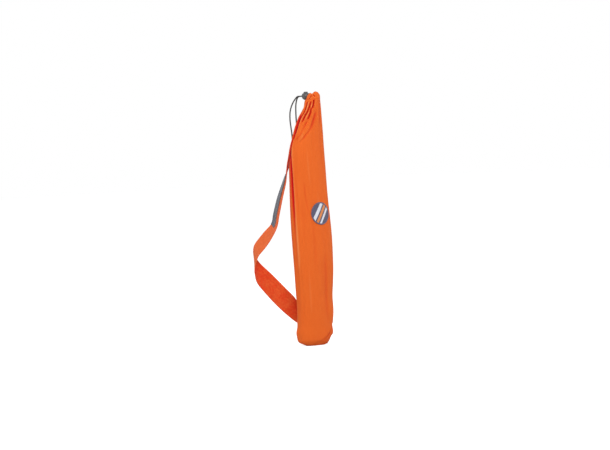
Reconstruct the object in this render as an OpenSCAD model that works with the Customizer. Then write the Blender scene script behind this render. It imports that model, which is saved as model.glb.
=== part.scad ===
// Slim drawstring carry sack, packed full and drawn shut, with a carry strap on its back.
// Millimetres, +Z up, front towards -Y, origin at the centre of the base's underside.

/* [Sack] */
// Height of the mouth's edge above the base
sack_h = 506; // [470:1:540]
// Width of the filled body, seam to seam
body_w = 80; // [70:1:92]
// Depth of the filled body, front to back
body_d = 52; // [46:1:62]
// How far the body swells out at its fullest
belly = 4.5; // [0:0.5:8]
// Height of the fullest place
belly_z = 200; // [150:5:260]
// Height over which the swelling fades
belly_spread = 75; // [50:5:120]
// Height where the body starts to draw in to the mouth
shoulder_z = 352; // [320:1:380]
// Thickness of the cloth
cloth_t = 0.8; // [0.5:0.1:1.5]
// How far the cloth turns in under the body to the base
foot_inset = 8; // [5:0.5:12]
// Height of that turned-in edge
foot_h = 14; // [10:1:24]
// How far the packed body leans out low down
bow = 3.2; // [0:0.2:5]
// Way of that lean, turned from the right side, negative to the front
bow_way = -42.5; // [-90:0.5:0]
// Height where it leans out most
bow_z = 160; // [130:5:180]

/* [Base and filling] */
// Thickness of the base panel
base_t = 1.2; // [0.8:0.1:2.5]
// Room between the base panel and the cloth round it
base_gap = 0.3; // [0.2:0.1:0.6]
// Height of the filling's top
core_top = 396; // [360:1:420]
// Room between the filling and the cloth
core_gap = 0.6; // [0.4:0.1:1.5]

/* [Mouth] */
// Width of the gathered mouth
mouth_w = 30; // [26:1:40]
// Depth of the gathered mouth
mouth_d = 26; // [23:1:36]
// How far the mouth is drawn to the right
mouth_x = 20.5; // [0:0.5:26]
// How far the mouth is drawn to the back, negative to the front
mouth_y = -8; // [-12:0.5:0]
// Height of the hem that holds the drawcord
hem_h = 14; // [11:0.5:18]
// Number of pleats round the mouth
pleats = 12; // [8:1:16]
// Height of a pleat above the mean surface
pleat_depth = 1.3; // [0:0.1:1.8]
// Height where the pleats begin
gather_z = 385; // [365:5:420]
// Height over which the pleats reach their full depth
gather_run = 65; // [40:5:80]
// Room in the hem beside the drawcord
tunnel_gap = 0.9; // [0.6:0.1:1.5]

/* [Side seams] */
// Width of a side seam
seam_w = 3; // [2:0.5:5]
// Height of a side seam above the cloth
seam_t = 0.7; // [0.4:0.1:1.2]
// Height where the side seams end below the pleats
seam_top = 400; // [360:5:430]
// Turn of the seams off the sides, on the left towards the front
seam_turn = 8; // [0:1:20]
// Turn of the seams the other way at their tops
seam_lean = 15; // [0:1:30]
// Height where the seams start to lean
seam_lean_z = 250; // [200:5:300]

/* [Drawcord and lock] */
// Diameter of the drawcord
cord_d = 2.8; // [2.4:0.1:3.0]
// Distance between the two strands' centres in the lock
strand_pitch = 3; // [3:0.1:3.3]
// Diameter of the lock's ball
lock_d = 17; // [16:0.5:20]
// Height of the ball's flat rim above the strands
lock_rim = 5.5; // [4.5:0.1:6]
// Diameter of the plunger
plunger_d = 8.6; // [8.4:0.1:9.4]
// How far the button stands above the rim
button_h = 3; // [2.5:0.1:4]
// How far the button presses in
press_travel = 2.2; // [1:0.1:2.4]
// Thickness of the plunger below its slot
plunger_floor = 1.5; // [1:0.1:1.8]
// Depth of the plunger's bore below the strands
bore_depth = 6.6; // [6:0.1:7]
// Room round sliding pieces
fit = 0.3; // [0.2:0.05:0.4]
// Room between the hem and the lock
lock_gap = 0.8; // [0.4:0.1:3]
// How far the lock slides off along the strands
lock_travel = 8; // [4:0.5:9]
// Wire of the lock's spring
wire_d = 0.4; // [0.3:0.05:0.5]
// Turns of the lock's spring
spring_turns = 2.5; // [2:0.5:3]

/* [Strap] */
// Width of the webbing
strap_w = 38; // [30:1:42]
// Thickness of the webbing
strap_t = 1.8; // [1.2:0.1:2.4]
// Way the loose loop hangs, turned from the right side round to the back
strap_way = 137.5; // [90:0.5:150]
// How far the loop stands out from its line of swing
strap_reach = 74; // [50:1:100]
// Height of the loop's upper end
loop_top = 356; // [340:1:360]
// Height of the loop's lower end
loop_foot = 73; // [70:1:96]
// Distance of the line of swing behind the body
swing_back = 24; // [23:1:32]
// Distance of the line of swing right of the middle
swing_x = -6; // [-12:1:4]
// Room between the loop and its upper sewn end
strap_gap = 0.8; // [0.6:0.1:2]
// Room between the loop and its lower sewn end
fold_gap = 2.4; // [2.4:0.1:4]
// Distance of the upper end's sewn edge below the mouth's edge
sewn_drop = 50; // [44:1:66]
// Room between a sewn end and the cloth under it
sewn_gap = 0.3; // [0.2:0.1:0.6]

/* [Strap label] */
// Width of the label
label_w = 23; // [16:1:30]
// Thickness of the label
label_t = 0.6; // [0.4:0.1:1]
// Room between the label and the webbing's near edge
label_edge = 0.5; // [0:0.5:6]
// Place of the label's upper end along the loop, in spline steps
label_from = 10; // [8:1:16]
// Place of the label's lower end along the loop, in spline steps
label_to = 41; // [32:1:46]

/* [Badge] */
// Diameter of the round badge
badge_d = 45; // [30:1:56]
// Width of the badge's raised rim
rim_w = 2.4; // [1.5:0.1:5]
// Thickness of the badge
badge_t = 0.6; // [0.4:0.1:1.2]
// Thickness of the badge's rim
rim_t = 1; // [0.6:0.1:1.6]
// Height of the badge's centre
badge_z = 263; // [180:1:300]
// Distance of the badge's centre right of the middle
badge_x = 2.5; // [-8:0.5:8]

/* [Hidden] */

// Colours
orange = [0.91, 0.40, 0.16];
deep_orange = [0.82, 0.28, 0.11];
slate = [0.29, 0.31, 0.37];
charcoal = [0.27, 0.27, 0.27];
steel = [0.72, 0.73, 0.75];
cream = [0.91, 0.92, 0.95];
foam = [0.85, 0.83, 0.78];

// Heights and clearances that follow from the sizes above
hem_z = sack_h - hem_h;
skin_gap = 0.2;
label_gap = 0.45;
label_shift = (strap_w - label_w) / 2 - label_edge;
seam_foot = foot_h + 2;
section_power = 2.2;
mouth_power = 2;
neck_curve = 2.1;
core_round_h = 24;
core_round_in = 12;

// The drawcord runs in the middle of the hem's tunnel
tunnel_w = cord_d + 2 * tunnel_gap;
cord_inset = cloth_t + tunnel_w / 2;
cord_z = hem_z + hem_h * 0.46;
lock_y = mouth_y + mouth_d / 2 + pleat_depth + lock_gap + lock_d / 2;
strand_end = lock_y + lock_d / 2 + lock_travel + 2;
hem_opening = 33;

// The free cord, as steps from where the left strand leaves the lock
CORD_ROUTE = [
    [0, 0, 0], [0, 2, 0], [0, 4.5, -0.3], [-0.7, 8, -2.6], [-2.2, 10.8, -6.3], [-4.5, 13, -11],
    [-7, 16.5, -19.5], [-9.5, 18.5, -31], [-10, 19.2, -45], [-9.5, 18.5, -58], [-9, 17.2, -71],
    [-8.9, 16.5, -80], [-8.8, 16, -86.6], [-6.9, 15.4, -91.2], [-2.4, 14.8, -93.1], [2.1, 14.2, -91.2],
    [4, 14, -86.6], [3.8, 14, -79], [3, 13.9, -66], [1.9, 13.7, -47], [1.7, 13.5, -31], [2, 12.8, -17],
];
// Its last stretch, as steps from where the right strand goes back into the lock
CORD_RETURN = [[-0.8, 10.2, -7.6], [-0.5, 7.8, -3.2], [-0.1, 4.8, -0.6], [0, 2, 0], [0, 0, 0]];
cord_gap = 0.2;

// The loop's side view: share of the reach, share of the drop, turn of the webbing's face,
// and slant of its cross line as a share of the slant that stands it upright at the foot
LOOP = [
    [0.00, 0.00, -6, 0], [0.01, 0.03, -2, 0], [0.11, 0.10, 9, 0], [0.245, 0.21, 16, 0],
    [0.37, 0.33, 20, 0.05], [0.47, 0.41, 23, 0.15], [0.71, 0.50, 26, 0.35], [0.93, 0.57, 24, 0.65],
    [1.01, 0.625, 14, 0.85], [1.02, 0.675, -8, 1], [0.92, 0.74, -40, 1], [0.63, 0.83, -66, 1],
    [0.26, 0.935, -84, 1], [0.00, 1.00, -90, 1],
];
LOOP_STEPS = 8;

// The upper end's sewn tab: where its top edge sits, and its steps down and across to where it comes free
tab_x = 14;
tab_step = [-4, -12];
// The lower end's sewn tab, as steps from the foot of the line of swing: its near and its far edge
low_tab_near = [18, -20];
low_tab_far = [28, -27];
// How far the webbing has lifted off the cloth at the end of either tab
tab_lift = [0, 1, 0];

// Small helpers
function mix(a, b, share) = a + (b - a) * share;
function unit(v) = v / norm(v);
function ease(v) = let (c = min(1, max(0, v))) c * c * (3 - 2 * c);
function signed_pow(v, e) = sign(v) * pow(abs(v), e);
function last(list) = list[len(list) - 1];
function around(angle) = [cos(angle), sin(angle), 0];

// A smooth curve through hand-chosen points
function between(a, b, c, d, s) =
    b + (c - a) * s / 2 + (a - 2.5 * b + 2 * c - d / 2) * s * s + (1.5 * (b - c) + (d - a) / 2) * s * s * s;
function spline(p, steps) = concat(
    [for (i = [0 : len(p) - 2], k = [0 : steps - 1])
        between(p[max(i - 1, 0)], p[i], p[i + 1], p[min(i + 2, len(p) - 1)], k / steps)],
    [last(p)]);
function tangent(p, i) = unit(p[min(i + 1, len(p) - 1)] - p[max(i - 1, 0)]);

// A closed skin over rings of points, capped at both ends or joined into a loop
module skin(rings, loop = false) {
    n = len(rings[0]);
    count = len(rings);
    sides = [for (k = [0 : count - (loop ? 1 : 2)], i = [0 : n - 1])
        let (a = k * n, b = ((k + 1) % count) * n, j = (i + 1) % n)
        each [[a + i, b + i, b + j], [a + i, b + j, a + j]]];
    caps = loop ? [] : [[for (i = [0 : n - 1]) i], [for (i = [n - 1 : -1 : 0]) (count - 1) * n + i]];
    polyhedron(points = [for (ring = rings) each ring], faces = concat(sides, caps), convexity = 10);
}

// A round cord along a path
function cord_ring(c, along, beside, r, sides) =
    let (p = unit(cross(beside, along)), q = cross(along, p))
    [for (k = [0 : sides - 1]) c + r * (p * cos(360 * k / sides) + q * sin(360 * k / sides))];
module cord(path, d, beside, sides = 8) {
    skin([for (i = [0 : len(path) - 1]) cord_ring(path[i], tangent(path, i), beside, d / 2, sides)]);
}

// Flat webbing along a path of [point, outward direction, slant of its cross line, share of its width]
function band_ring(c, along, outward, slant, w, t, lift, shift) =
    let (n = unit(outward - along * (outward * along)), p = cross(n, along) + along * slant,
         h = p * w / 2, m = c + n * lift + p * shift)
    [m - h - n * t / 2, m + h - n * t / 2, m + h + n * t / 2, m - h + n * t / 2];
module band(path, w, t, lift = 0, shift = 0, from = 0, to = -1) {
    points = [for (s = path) s[0]];
    end = to < 0 ? len(path) - 1 : to;
    skin([for (i = [from : end])
        band_ring(points[i], tangent(points, i), path[i][1], path[i][2], w * path[i][3], t, lift, shift)]);
}

// The filled body: a rounded oval at every height, drawn in to one side at the mouth
function draw_in(z) = z <= shoulder_z ? 0 : min(1, pow((z - shoulder_z) / (hem_z - shoulder_z), neck_curve));
function swell(z) = belly * exp(-pow((z - belly_z) / belly_spread, 2) / 2);
function foot(z) = z >= foot_h ? 0 : foot_inset * pow(1 - z / foot_h, 2);
function half_w(z) = mix(body_w / 2 + swell(z), mouth_w / 2, draw_in(z)) - foot(z);
function half_d(z) = mix(body_d / 2 + swell(z), mouth_d / 2, draw_in(z)) - foot(z);
function lean(z) = z >= 2 * bow_z ? 0 : bow * (1 - cos(180 * z / bow_z)) / 2;
function mid_x(z) = mouth_x * draw_in(z) + lean(z) * cos(bow_way);
function mid_y(z) = mouth_y * draw_in(z) + lean(z) * sin(bow_way);
function power(z) = mix(section_power, mouth_power, draw_in(z));
function pleat(z) = pleat_depth * ease((z - gather_z) / gather_run);
function sack_point(t, z, grow, fold = 1) =
    let (e = 2 / power(z), f = fold * pleat(z) * cos(pleats * t))
    [mid_x(z) + (half_w(z) + grow) * signed_pow(cos(t), e) + f * cos(t),
     mid_y(z) + (half_d(z) + grow) * signed_pow(sin(t), e) + f * sin(t), z];
function sack_ring(z, grow, sides, fold = 1) =
    [for (i = [0 : sides - 1]) sack_point(360 * i / sides, z, grow, fold)];
function depth_at(x, z, grow) =
    (half_d(z) + grow) * pow(1 - pow(abs(x - mid_x(z)) / (half_w(z) + grow), power(z)), 1 / power(z));
function front_y(x, z, grow) = mid_y(z) - depth_at(x, z, grow);
function back_y(x, z, grow) = mid_y(z) + depth_at(x, z, grow + pleat(z));

sack_sides = 4 * pleats;
foot_steps = [for (k = [0 : 4]) foot_h * k / 5];
body_steps = [for (k = [0 : 11]) mix(foot_h, shoulder_z, k / 12)];
neck_steps = [for (k = [0 : 14]) mix(shoulder_z, hem_z, k / 14)];
SLEEVE_Z = concat(foot_steps, body_steps, neck_steps);

// The cloth tube with its turned-in foot and pleated neck
module sack_sleeve() {
    outer = [for (z = SLEEVE_Z) sack_ring(z, 0, sack_sides)];
    inner = [for (k = [len(SLEEVE_Z) - 1 : -1 : 0]) sack_ring(SLEEVE_Z[k], -cloth_t, sack_sides)];
    color(orange) skin(concat(outer, inner), loop = true);
}

// The flat panel the sack stands on
module base_panel() {
    rim = [for (p = sack_ring(0, -cloth_t - base_gap, 64, 0)) [p[0], p[1]]];
    color(deep_orange) linear_extrude(base_t) polygon(rim);
}

// The soft roll that keeps the sack full, rounded over at its top
module filling() {
    function crown(z) = z <= core_top - core_round_h ? 0
        : core_round_in * pow((z - core_top + core_round_h) / core_round_h, 2);
    low = [for (k = [0 : 4]) mix(base_t, foot_h, k / 5)];
    tall = [for (k = [0 : 11]) mix(foot_h, core_top - core_round_h, k / 12)];
    top = [for (k = [0 : 4]) mix(core_top - core_round_h, core_top, k / 4)];
    color(foam) skin([for (z = concat(low, tall, top))
        sack_ring(z, -cloth_t - core_gap - crown(z) - pleat(z), 32, 0)]);
}

// A sewn seam up one side, lying on the cloth and leaning over as the neck draws in
module side_seam(side) {
    count = 40;
    steps = [for (k = [0 : count]) mix(seam_foot, seam_top, k / count)];
    half_turn = seam_w / 2 / (body_d / 2) * 180 / PI;
    function turn(z) = side + seam_turn
        - seam_lean * pow(max(0, (z - seam_lean_z) / (seam_top - seam_lean_z)), 3);
    skin([for (z = steps) let (angle = turn(z)) [
        sack_point(angle - half_turn, z, skin_gap),
        sack_point(angle - half_turn, z, skin_gap + seam_t / 2),
        sack_point(angle, z, skin_gap + seam_t),
        sack_point(angle + half_turn, z, skin_gap + seam_t / 2),
        sack_point(angle + half_turn, z, skin_gap),
        sack_point(angle, z, skin_gap),
    ]]);
}
module side_seam_left() { color(deep_orange) side_seam(180); }
module side_seam_right() { color(deep_orange) side_seam(0); }

// The folded hem round the mouth: a tunnel open at its lower edge and at the back, where the cord comes out
function hem_point(t, inset, z) = sack_point(t, hem_z, -inset) + [0, 0, z];
module mouth_hem() {
    inside = cloth_t + tunnel_w;
    all = inside + cloth_t;
    crown = 3.5;
    shoulder = hem_h - crown / 3;
    profile = [
        [0, 0], [0, hem_h - crown], [cloth_t, shoulder], [all / 2, hem_h], [all - cloth_t, shoulder],
        [all, hem_h - crown], [all, 0], [inside, 0], [inside, hem_h - crown - cloth_t / 2],
        [all / 2, shoulder], [cloth_t, hem_h - crown - cloth_t / 2], [cloth_t, 0],
    ];
    turns = 48;
    color(orange) skin([for (k = [0 : turns])
        let (t = mix(90 + hem_opening, 450 - hem_opening, k / turns))
        [for (p = profile) hem_point(t, p[0], p[1])]]);
}

// The drawcord's held stretch: round the mouth inside the hem and straight out through the lock
module drawcord_ring() {
    side = strand_pitch / 2;
    back = mouth_y + mouth_d / 2;
    straight = 3;
    flare = [-1.2, -0.6];
    bend = hem_opening - 3;
    out_left = [[mouth_x - side, strand_end, cord_z], [mouth_x - side, lock_y, cord_z],
                [mouth_x - side, back + straight, cord_z],
                [mouth_x - side + flare[0], back + flare[1], cord_z]];
    out_right = [for (k = [3 : -1 : 0]) [2 * mouth_x - out_left[k][0], out_left[k][1], cord_z]];
    round_mouth = [for (k = [0 : 40])
        hem_point(mix(90 + bend, 450 - bend, k / 40), cord_inset, cord_z - hem_z)];
    color(charcoal) cord(concat(out_left, round_mouth, out_right), cord_d, [0, 0, 1]);
}

// The drawcord's free loop, hanging behind the mouth from the lock and back to it
module drawcord_loop() {
    left = [mouth_x - strand_pitch / 2, strand_end + cord_gap, cord_z];
    right = left + [strand_pitch, 0, 0];
    route = concat([for (p = CORD_ROUTE) left + p], [for (p = CORD_RETURN) right + p]);
    color(charcoal) cord(spline(route, 3), cord_d, around(strap_way - 90));
}

// The lock's ball: a flat rim, a bore for the plunger and a cross slot for both strands
module strand_slot(low, high, w) {
    translate([-w / 2, -lock_d, low]) cube([w, 2 * lock_d, high - low]);
}
slot_w = strand_pitch + cord_d + 2 * fit;
slot_r = cord_d / 2 + fit;
module lock_barrel() {
    color(charcoal) translate([mouth_x, lock_y, cord_z]) difference() {
        intersection() {
            sphere(d = lock_d, $fn = 64);
            translate([0, 0, lock_rim - lock_d]) cylinder(h = lock_d, d = lock_d + 2, $fn = 64);
        }
        translate([0, 0, -bore_depth]) cylinder(h = bore_depth + lock_d, d = plunger_d + 2 * fit, $fn = 64);
        strand_slot(-slot_r, slot_r, slot_w);
    }
}

// The plunger: a crowned button, with a slot tall enough for the strands at either end of its travel
module lock_plunger() {
    foot_z = -slot_r - plunger_floor;
    top_z = lock_rim + button_h;
    edge = 1;
    color(charcoal) translate([mouth_x, lock_y, cord_z]) difference() {
        union() {
            translate([0, 0, foot_z]) cylinder(h = top_z - edge - foot_z, d = plunger_d, $fn = 64);
            translate([0, 0, top_z - edge])
                cylinder(h = edge, d1 = plunger_d, d2 = plunger_d - 2 * edge, $fn = 64);
        }
        strand_slot(-slot_r, slot_r + press_travel, slot_w);
    }
}

// The coil that pushes the plunger up against the strands
module lock_spring() {
    low = -bore_depth + wire_d / 2;
    high = -slot_r - plunger_floor - wire_d / 2;
    r = plunger_d / 2 - 1.2;
    count = 12 * spring_turns;
    path = [for (k = [0 : count])
        around(30 * k) * r + [mouth_x, lock_y, cord_z + mix(low, high, k / count)]];
    color(steel) cord(path, wire_d, [0, 0, 1], 6);
}

// The strap's loose loop, seen along its line of swing
swing = [swing_x, body_d / 2 + swing_back, 0];
out = around(strap_way);
nearer = around(strap_way + 90);
function loop_point(s) =
    swing + out * (s[0] * strap_reach + s[1] * fold_gap / 2) + [0, 0, mix(loop_top, loop_foot, s[1])];
LOOP_CURVE = spline(LOOP, LOOP_STEPS);
// The slant that stands a falling band's cross line upright
function upright(from, to) = let (d = to - from) -d[2] / norm([d[0], d[1]]);
foot_slant = upright(loop_point(LOOP_CURVE[len(LOOP_CURVE) - 2]), loop_point(last(LOOP_CURVE)));
LOOP_PATH = [for (s = LOOP_CURVE)
    [loop_point(s), out * cos(s[2]) + nearer * sin(s[2]), s[3] * foot_slant, 1]];
module shoulder_strap() { color(orange) band(LOOP_PATH, strap_w, strap_t); }

// The plain woven label on the loop's outer face
module strap_label() {
    color(slate) band(LOOP_PATH, label_w, label_t, (strap_t + label_t) / 2 + label_gap, -label_shift,
                      label_from, label_to);
}

// A place on the back, clear of the cloth over a height on either side of it
function on_back(x, z, rise = 0) =
    let (grow = sewn_gap + strap_t / 2)
    [x, max(back_y(x, z + rise, grow), back_y(x, z - rise, grow)), z];

// The loop's upper end, from its sewn tab down to the loop, turning its face as it goes
module strap_top_end() {
    function tab(k) = on_back(tab_x + k * tab_step[0], sack_h - sewn_drop + k * tab_step[1]);
    end = swing + [0, 0, loop_top + strap_gap];
    hold = tab(2) + tab_lift;
    face = strap_way + LOOP[0][2];
    stations = [
        concat(tab(0), [88, 0.75]), concat(tab(1), [90, 0.85]), concat(hold, [94, 0.95]),
        concat(mix(hold, end, 0.35) + [3, 2, 6], [108, 1]),
        concat(mix(hold, end, 0.64) + [2, 1, 4], [118, 1]),
        concat(end + [0, 0, 10], [face - 5, 1]), concat(end + [0, 0, 5], [face, 1]), concat(end, [face, 1]),
    ];
    curve = spline(stations, 4);
    color(orange) band([for (s = curve) [[s[0], s[1], s[2]], around(s[3]), 0, s[4]]], strap_w, strap_t);
}

// The loop's lower end, from the fold to where it is sewn on the back
module strap_low_end() {
    function tab(p) = on_back(swing_x + p[0], loop_foot + p[1], strap_w / 2);
    fold = swing - out * fold_gap / 2 + [0, 0, loop_foot - 2];
    stations = [
        concat(fold, [strap_way - 90, 1]), concat(fold - out * 6 - [0, 0, 5], [strap_way - 85, 0.9]),
        concat(fold + [10, -14, -10], [strap_way - 70, 0.5]),
        concat(tab(low_tab_near) + tab_lift, [82, 0]),
        concat(tab((low_tab_near + low_tab_far) / 2), [79, 0]),
        concat(tab(low_tab_far), [76, 0]),
    ];
    curve = spline(stations, 4);
    points = [for (s = curve) [s[0], s[1], s[2]]];
    slant = upright(points[0], points[1]);
    color(orange)
        band([for (i = [0 : len(curve) - 1]) [points[i], around(curve[i][3]), curve[i][4] * slant, 1]],
             strap_w, strap_t);
}

// The round badge on the front, bent over the cloth
function badge_point(r, angle, grow) =
    let (x = badge_x + r * cos(angle), z = badge_z + r * sin(angle)) [x, front_y(x, z, grow), z];
module badge_shape(r_in, r_out, t, steps) {
    sides = 32;
    function ring(r, grow) = [for (k = [0 : sides - 1]) badge_point(r, 360 * k / sides, grow)];
    under = [for (k = [0 : steps]) ring(mix(r_in, r_out, k / steps), skin_gap)];
    upper = [for (k = [steps : -1 : 0]) ring(mix(r_in, r_out, k / steps), skin_gap + t)];
    skin(concat(under, upper), loop = r_in > 1);
}
module badge_field() { color(cream) badge_shape(0.5, badge_d / 2 - rim_w - skin_gap, badge_t, 5); }
module badge_rim() { color(slate) badge_shape(badge_d / 2 - rim_w, badge_d / 2, rim_t, 2); }

sack_sleeve();
base_panel();
filling();
side_seam_left();
side_seam_right();
mouth_hem();
drawcord_ring();
drawcord_loop();
lock_barrel();
lock_plunger();
lock_spring();
shoulder_strap();
strap_label();
strap_top_end();
strap_low_end();
badge_field();
badge_rim();
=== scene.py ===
"""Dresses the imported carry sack: folded cloth, gathered mouth, webbing strap, drawcord, cord lock and
badge."""

import math

import bpy
import numpy as np
from bpy.props import FloatProperty
from bpy.props import FloatVectorProperty
from bpy.props import PointerProperty
from mathutils import Matrix
from mathutils import Vector


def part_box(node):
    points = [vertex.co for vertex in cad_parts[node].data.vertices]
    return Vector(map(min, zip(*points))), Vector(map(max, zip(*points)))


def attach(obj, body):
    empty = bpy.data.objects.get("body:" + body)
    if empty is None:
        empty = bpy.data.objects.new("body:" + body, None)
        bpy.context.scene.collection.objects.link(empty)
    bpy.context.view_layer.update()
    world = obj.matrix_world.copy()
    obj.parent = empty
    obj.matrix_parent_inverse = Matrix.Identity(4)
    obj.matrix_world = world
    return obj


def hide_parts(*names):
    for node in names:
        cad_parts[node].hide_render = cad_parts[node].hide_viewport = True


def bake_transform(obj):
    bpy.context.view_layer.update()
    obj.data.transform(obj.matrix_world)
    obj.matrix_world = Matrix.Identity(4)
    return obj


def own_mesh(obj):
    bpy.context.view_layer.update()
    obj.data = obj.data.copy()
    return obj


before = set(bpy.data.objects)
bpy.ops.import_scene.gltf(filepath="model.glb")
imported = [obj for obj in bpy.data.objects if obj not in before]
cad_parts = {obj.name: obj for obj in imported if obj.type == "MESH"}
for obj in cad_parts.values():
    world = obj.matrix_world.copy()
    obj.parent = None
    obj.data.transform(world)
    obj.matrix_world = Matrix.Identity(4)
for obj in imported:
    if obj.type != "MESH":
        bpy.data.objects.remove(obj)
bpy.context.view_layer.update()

bl_info = {
    "name": "Drawstring carry sack",
    "version": (1, 0, 0),
    "blender": (4, 5, 0),
    "location": "View3D > Sidebar > Carry sack",
    "description": "Builds the cloth, webbing, cord and badge of a drawstring carry sack on its packed frame",
    "category": "Add Mesh",
}

MM = 0.001
SLEEVE_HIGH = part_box("sack_sleeve")[1]
BADGE_LOW, BADGE_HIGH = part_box("badge_rim")

# The camera: its angles in degrees, its distance, the picture's scale, and how far right of and above the
# middle of the sack's foot the picture's centre lies.
CAMERA_AZIMUTH = -42.5
CAMERA_ELEVATION = 2.0
CAMERA_ROLL = 2.75
CAMERA_DISTANCE = 5.0
IMAGE_WIDTH = 610
METRES_PER_PIXEL = 2.0 * MM
AIM_RIGHT = -9.5 * MM
AIM_UP = 240.6 * MM

# Fold lines of the cloth: heights in millimetres and turns in degrees, then half width and depth in
# millimetres, and how much wider the fold's right side is.
CLOTH_FOLDS = {
    "slit_left": (((470, 194), (478, 191), (482, 188), (487, 185)), 1.6, 3.4, 1.0),
    "slit_front": (((471, 242), (478, 240), (486, 237), (491, 233)), 1.8, 4.2, 1.0),
    "long_left": (((441, 199), (453, 206), (460, 210), (466, 216), (475, 218), (490, 217)), 1.8, 3.6, 1.0),
    "short_front": (((448, 227), (455, 231), (460, 234), (466, 234), (476, 231)), 1.9, 3.2, 1.0),
    "edge_left": (((443, 185), (449, 186), (455, 188), (460, 191), (466, 195), (484, 193)), 1.7, 3.6, 1.0),
    "sweep_left": (((404, 180), (413, 194), (419, 206), (426, 214), (436, 220), (450, 232)), 2.4, 1.4, 0.6),
    "sweep_right": (((398, 194), (407, 209), (412, 219), (420, 230), (435, 248), (470, 263)), 2.8, 1.45, 1.6),
    "right_soft": (((430, 296), (462, 292), (496, 294)), 3.0, 0.8, 1.0),
    "front_streak": (((248, 239), (257, 238), (272, 236), (288, 233), (307, 230), (330, 229)), 2.3, 0.7, 1.0),
    "edge_streak": (((255, 201), (269, 200), (292, 200), (322, 197)), 1.5, 0.4, 1.0),
    "low_left": (((36, 200), (77, 200), (118, 196), (172, 196)), 1.9, 0.5, 1.0),
    "low_right": (((28, 287), (66, 280), (116, 276), (185, 274)), 9.0, 0.45, 1.0),
}
# Creases of the hem: turns in degrees and heights over the sleeve in millimetres, then half width and depth.
HEM_FOLDS = (
    (((180, -3), (190, 0), (200, 4), (214, 7)), 1.5, 2.4),
    (((224, 9), (233, 6.5), (245, 3)), 1.5, 2.2),
)
# How far the neck stands off its plain form on the picture's left and right: heights and sizes in
# millimetres.
LEFT_PUSH = ((440, 0), (456, -0.3), (464, -1.4), (475, -2.6), (483, 0.6), (490, 2.8), (497, 2.8))
RIGHT_PUSH = (
    (170, 0), (200, 0.9), (225, 1.5), (250, 1.8), (290, 2), (325, 2), (360, 1.6), (400, 0.5), (430, 0),
    (462, -0.8), (480, -1.6), (488, -2.2), (497, -2.4),
)
# The crisp edge of the front, where the left seam runs: heights in millimetres and turns in degrees.
LEFT_EDGE = (
    (0, 188), (119, 188), (221, 188), (277, 188), (300, 187), (325, 185.5), (346, 184), (362, 182),
    (376, 179.5), (388, 175.5), (400, 173), (410, 174), (419, 180), (430, 186), (442, 187.5),
    (454, 189), (466, 195), (475, 195), (485, 193), (497, 190),
)
# The valley of the neck that leaves this edge upwards: heights in millimetres and turns in degrees.
LEFT_VALLEY = (
    (350, 138), (362, 146), (376, 155), (388, 162), (399, 164), (411, 166), (415, 171), (423, 174),
    (431, 175), (442, 174), (452, 173), (462, 176),
)
# The pinched corner's fold at the foot: turns in degrees and heights in millimetres.
CORNER_FOLD = ((222, 2), (236, 4), (262, 10), (278, 16), (290, 23), (300, 31), (312, 41))
# Bumps and dents low on either side of the picture: heights, half heights and sizes in millimetres.
LEFT_DENTS = ((72, 26, -1.9), (26, 10, 1.2))
RIGHT_DENTS = ((150, 30, 0.8), (100, 14, -0.6), (64, 20, 2.6), (26, 9, 0.6))
# Height of the ruffled lip above the sleeve: turns in degrees and heights in millimetres.
LIP = (
    (100, 10), (137, 10), (152, 11.4), (168, 11.8), (184, 11), (200, 10), (212, 10), (226, 11.4),
    (240, 13.4), (252, 14.4), (264, 13.8), (280, 12.6), (297, 10.6), (312, 9.4), (330, 9), (350, 9),
)
HEM_FROM = 123.0
HEM_TO = 417.0

# Route of the free drawcord from its left exit, and of its way back from its right exit, in millimetres.
CORD_EXIT = (19.0, 34.3, 498.44)
CORD_ENTRY = (22.0, 34.3, 498.44)
CORD_ROUTE = (
    (0, 0, 0), (0, 2, 0), (0, 4.5, -0.3), (-0.7, 8, -2.6), (-2.2, 10.8, -6.3), (-4.5, 13, -11),
    (-7, 16.5, -19.5), (-9.5, 18.5, -31), (-10, 19.2, -45), (-9.5, 18.5, -58), (-9, 17.2, -71),
    (-8.9, 16.5, -80), (-8.8, 16, -86.6), (-6.9, 15.4, -91.2), (-2.4, 14.8, -93.1), (2.1, 14.2, -91.2),
    (4, 14, -86.6), (3.8, 14, -79), (3, 13.9, -66), (1.9, 13.7, -47), (1.7, 13.5, -31), (2, 12.8, -17),
)
CORD_RETURN = (
    (-0.8, 10.2, -7.6), (-0.5, 7.8, -3.2), (-0.1, 4.8, -0.6), (0, 2, 0), (0, 0, 0),
)

# Stations of the strap's loose loop: reach share, drop share, turn of its face in degrees, slant share.
STRAP_LOOP = (
    (0, 0, -6, 0), (0.035, 0.03, -2, 0), (0.105, 0.10, 9, 0), (0.24, 0.21, 15, 0),
    (0.36, 0.33, 16, 0.05), (0.44, 0.41, 17, 0.15), (0.70, 0.50, 27, 0.35), (0.93, 0.57, 24, 0.65),
    (1.01, 0.625, 14, 0.85), (1.02, 0.675, -8, 1), (0.92, 0.74, -40, 1), (0.63, 0.83, -66, 1),
    (0.26, 0.936, -84, 1), (-0.02, 1.008, -90, 1),
)
LABEL_STATIONS = (1.25, 5.125)
# Scale and distortion of each thread's twist, its roughness and its depth.
THREADS = {"sewing_thread": (900.0, 1.5, 0.7, 0.05 * MM), "label_thread": (1100.0, 1.2, 0.75, 0.04 * MM)}
# Height at which the hem's painted shade and highlight are read from the folds of the neck.
HEM_TONE_HEIGHT = 0.491
# Turns in degrees of the two sides of the picture, and how fast a side's push fades.
LEFT_SIDE = 150.0
RIGHT_SIDE = 317.0
SIDE_SPREAD = 36.0


def length(name, description, default):
    """A property that holds a length in metres."""
    return FloatProperty(name=name, description=description, default=default, unit="LENGTH", precision=5)


def colour(name, description, default):
    """A property that holds a linear colour."""
    return FloatVectorProperty(
        name=name, description=description, default=default, size=3, min=0.0, max=1.0, subtype="COLOR"
    )


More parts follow.
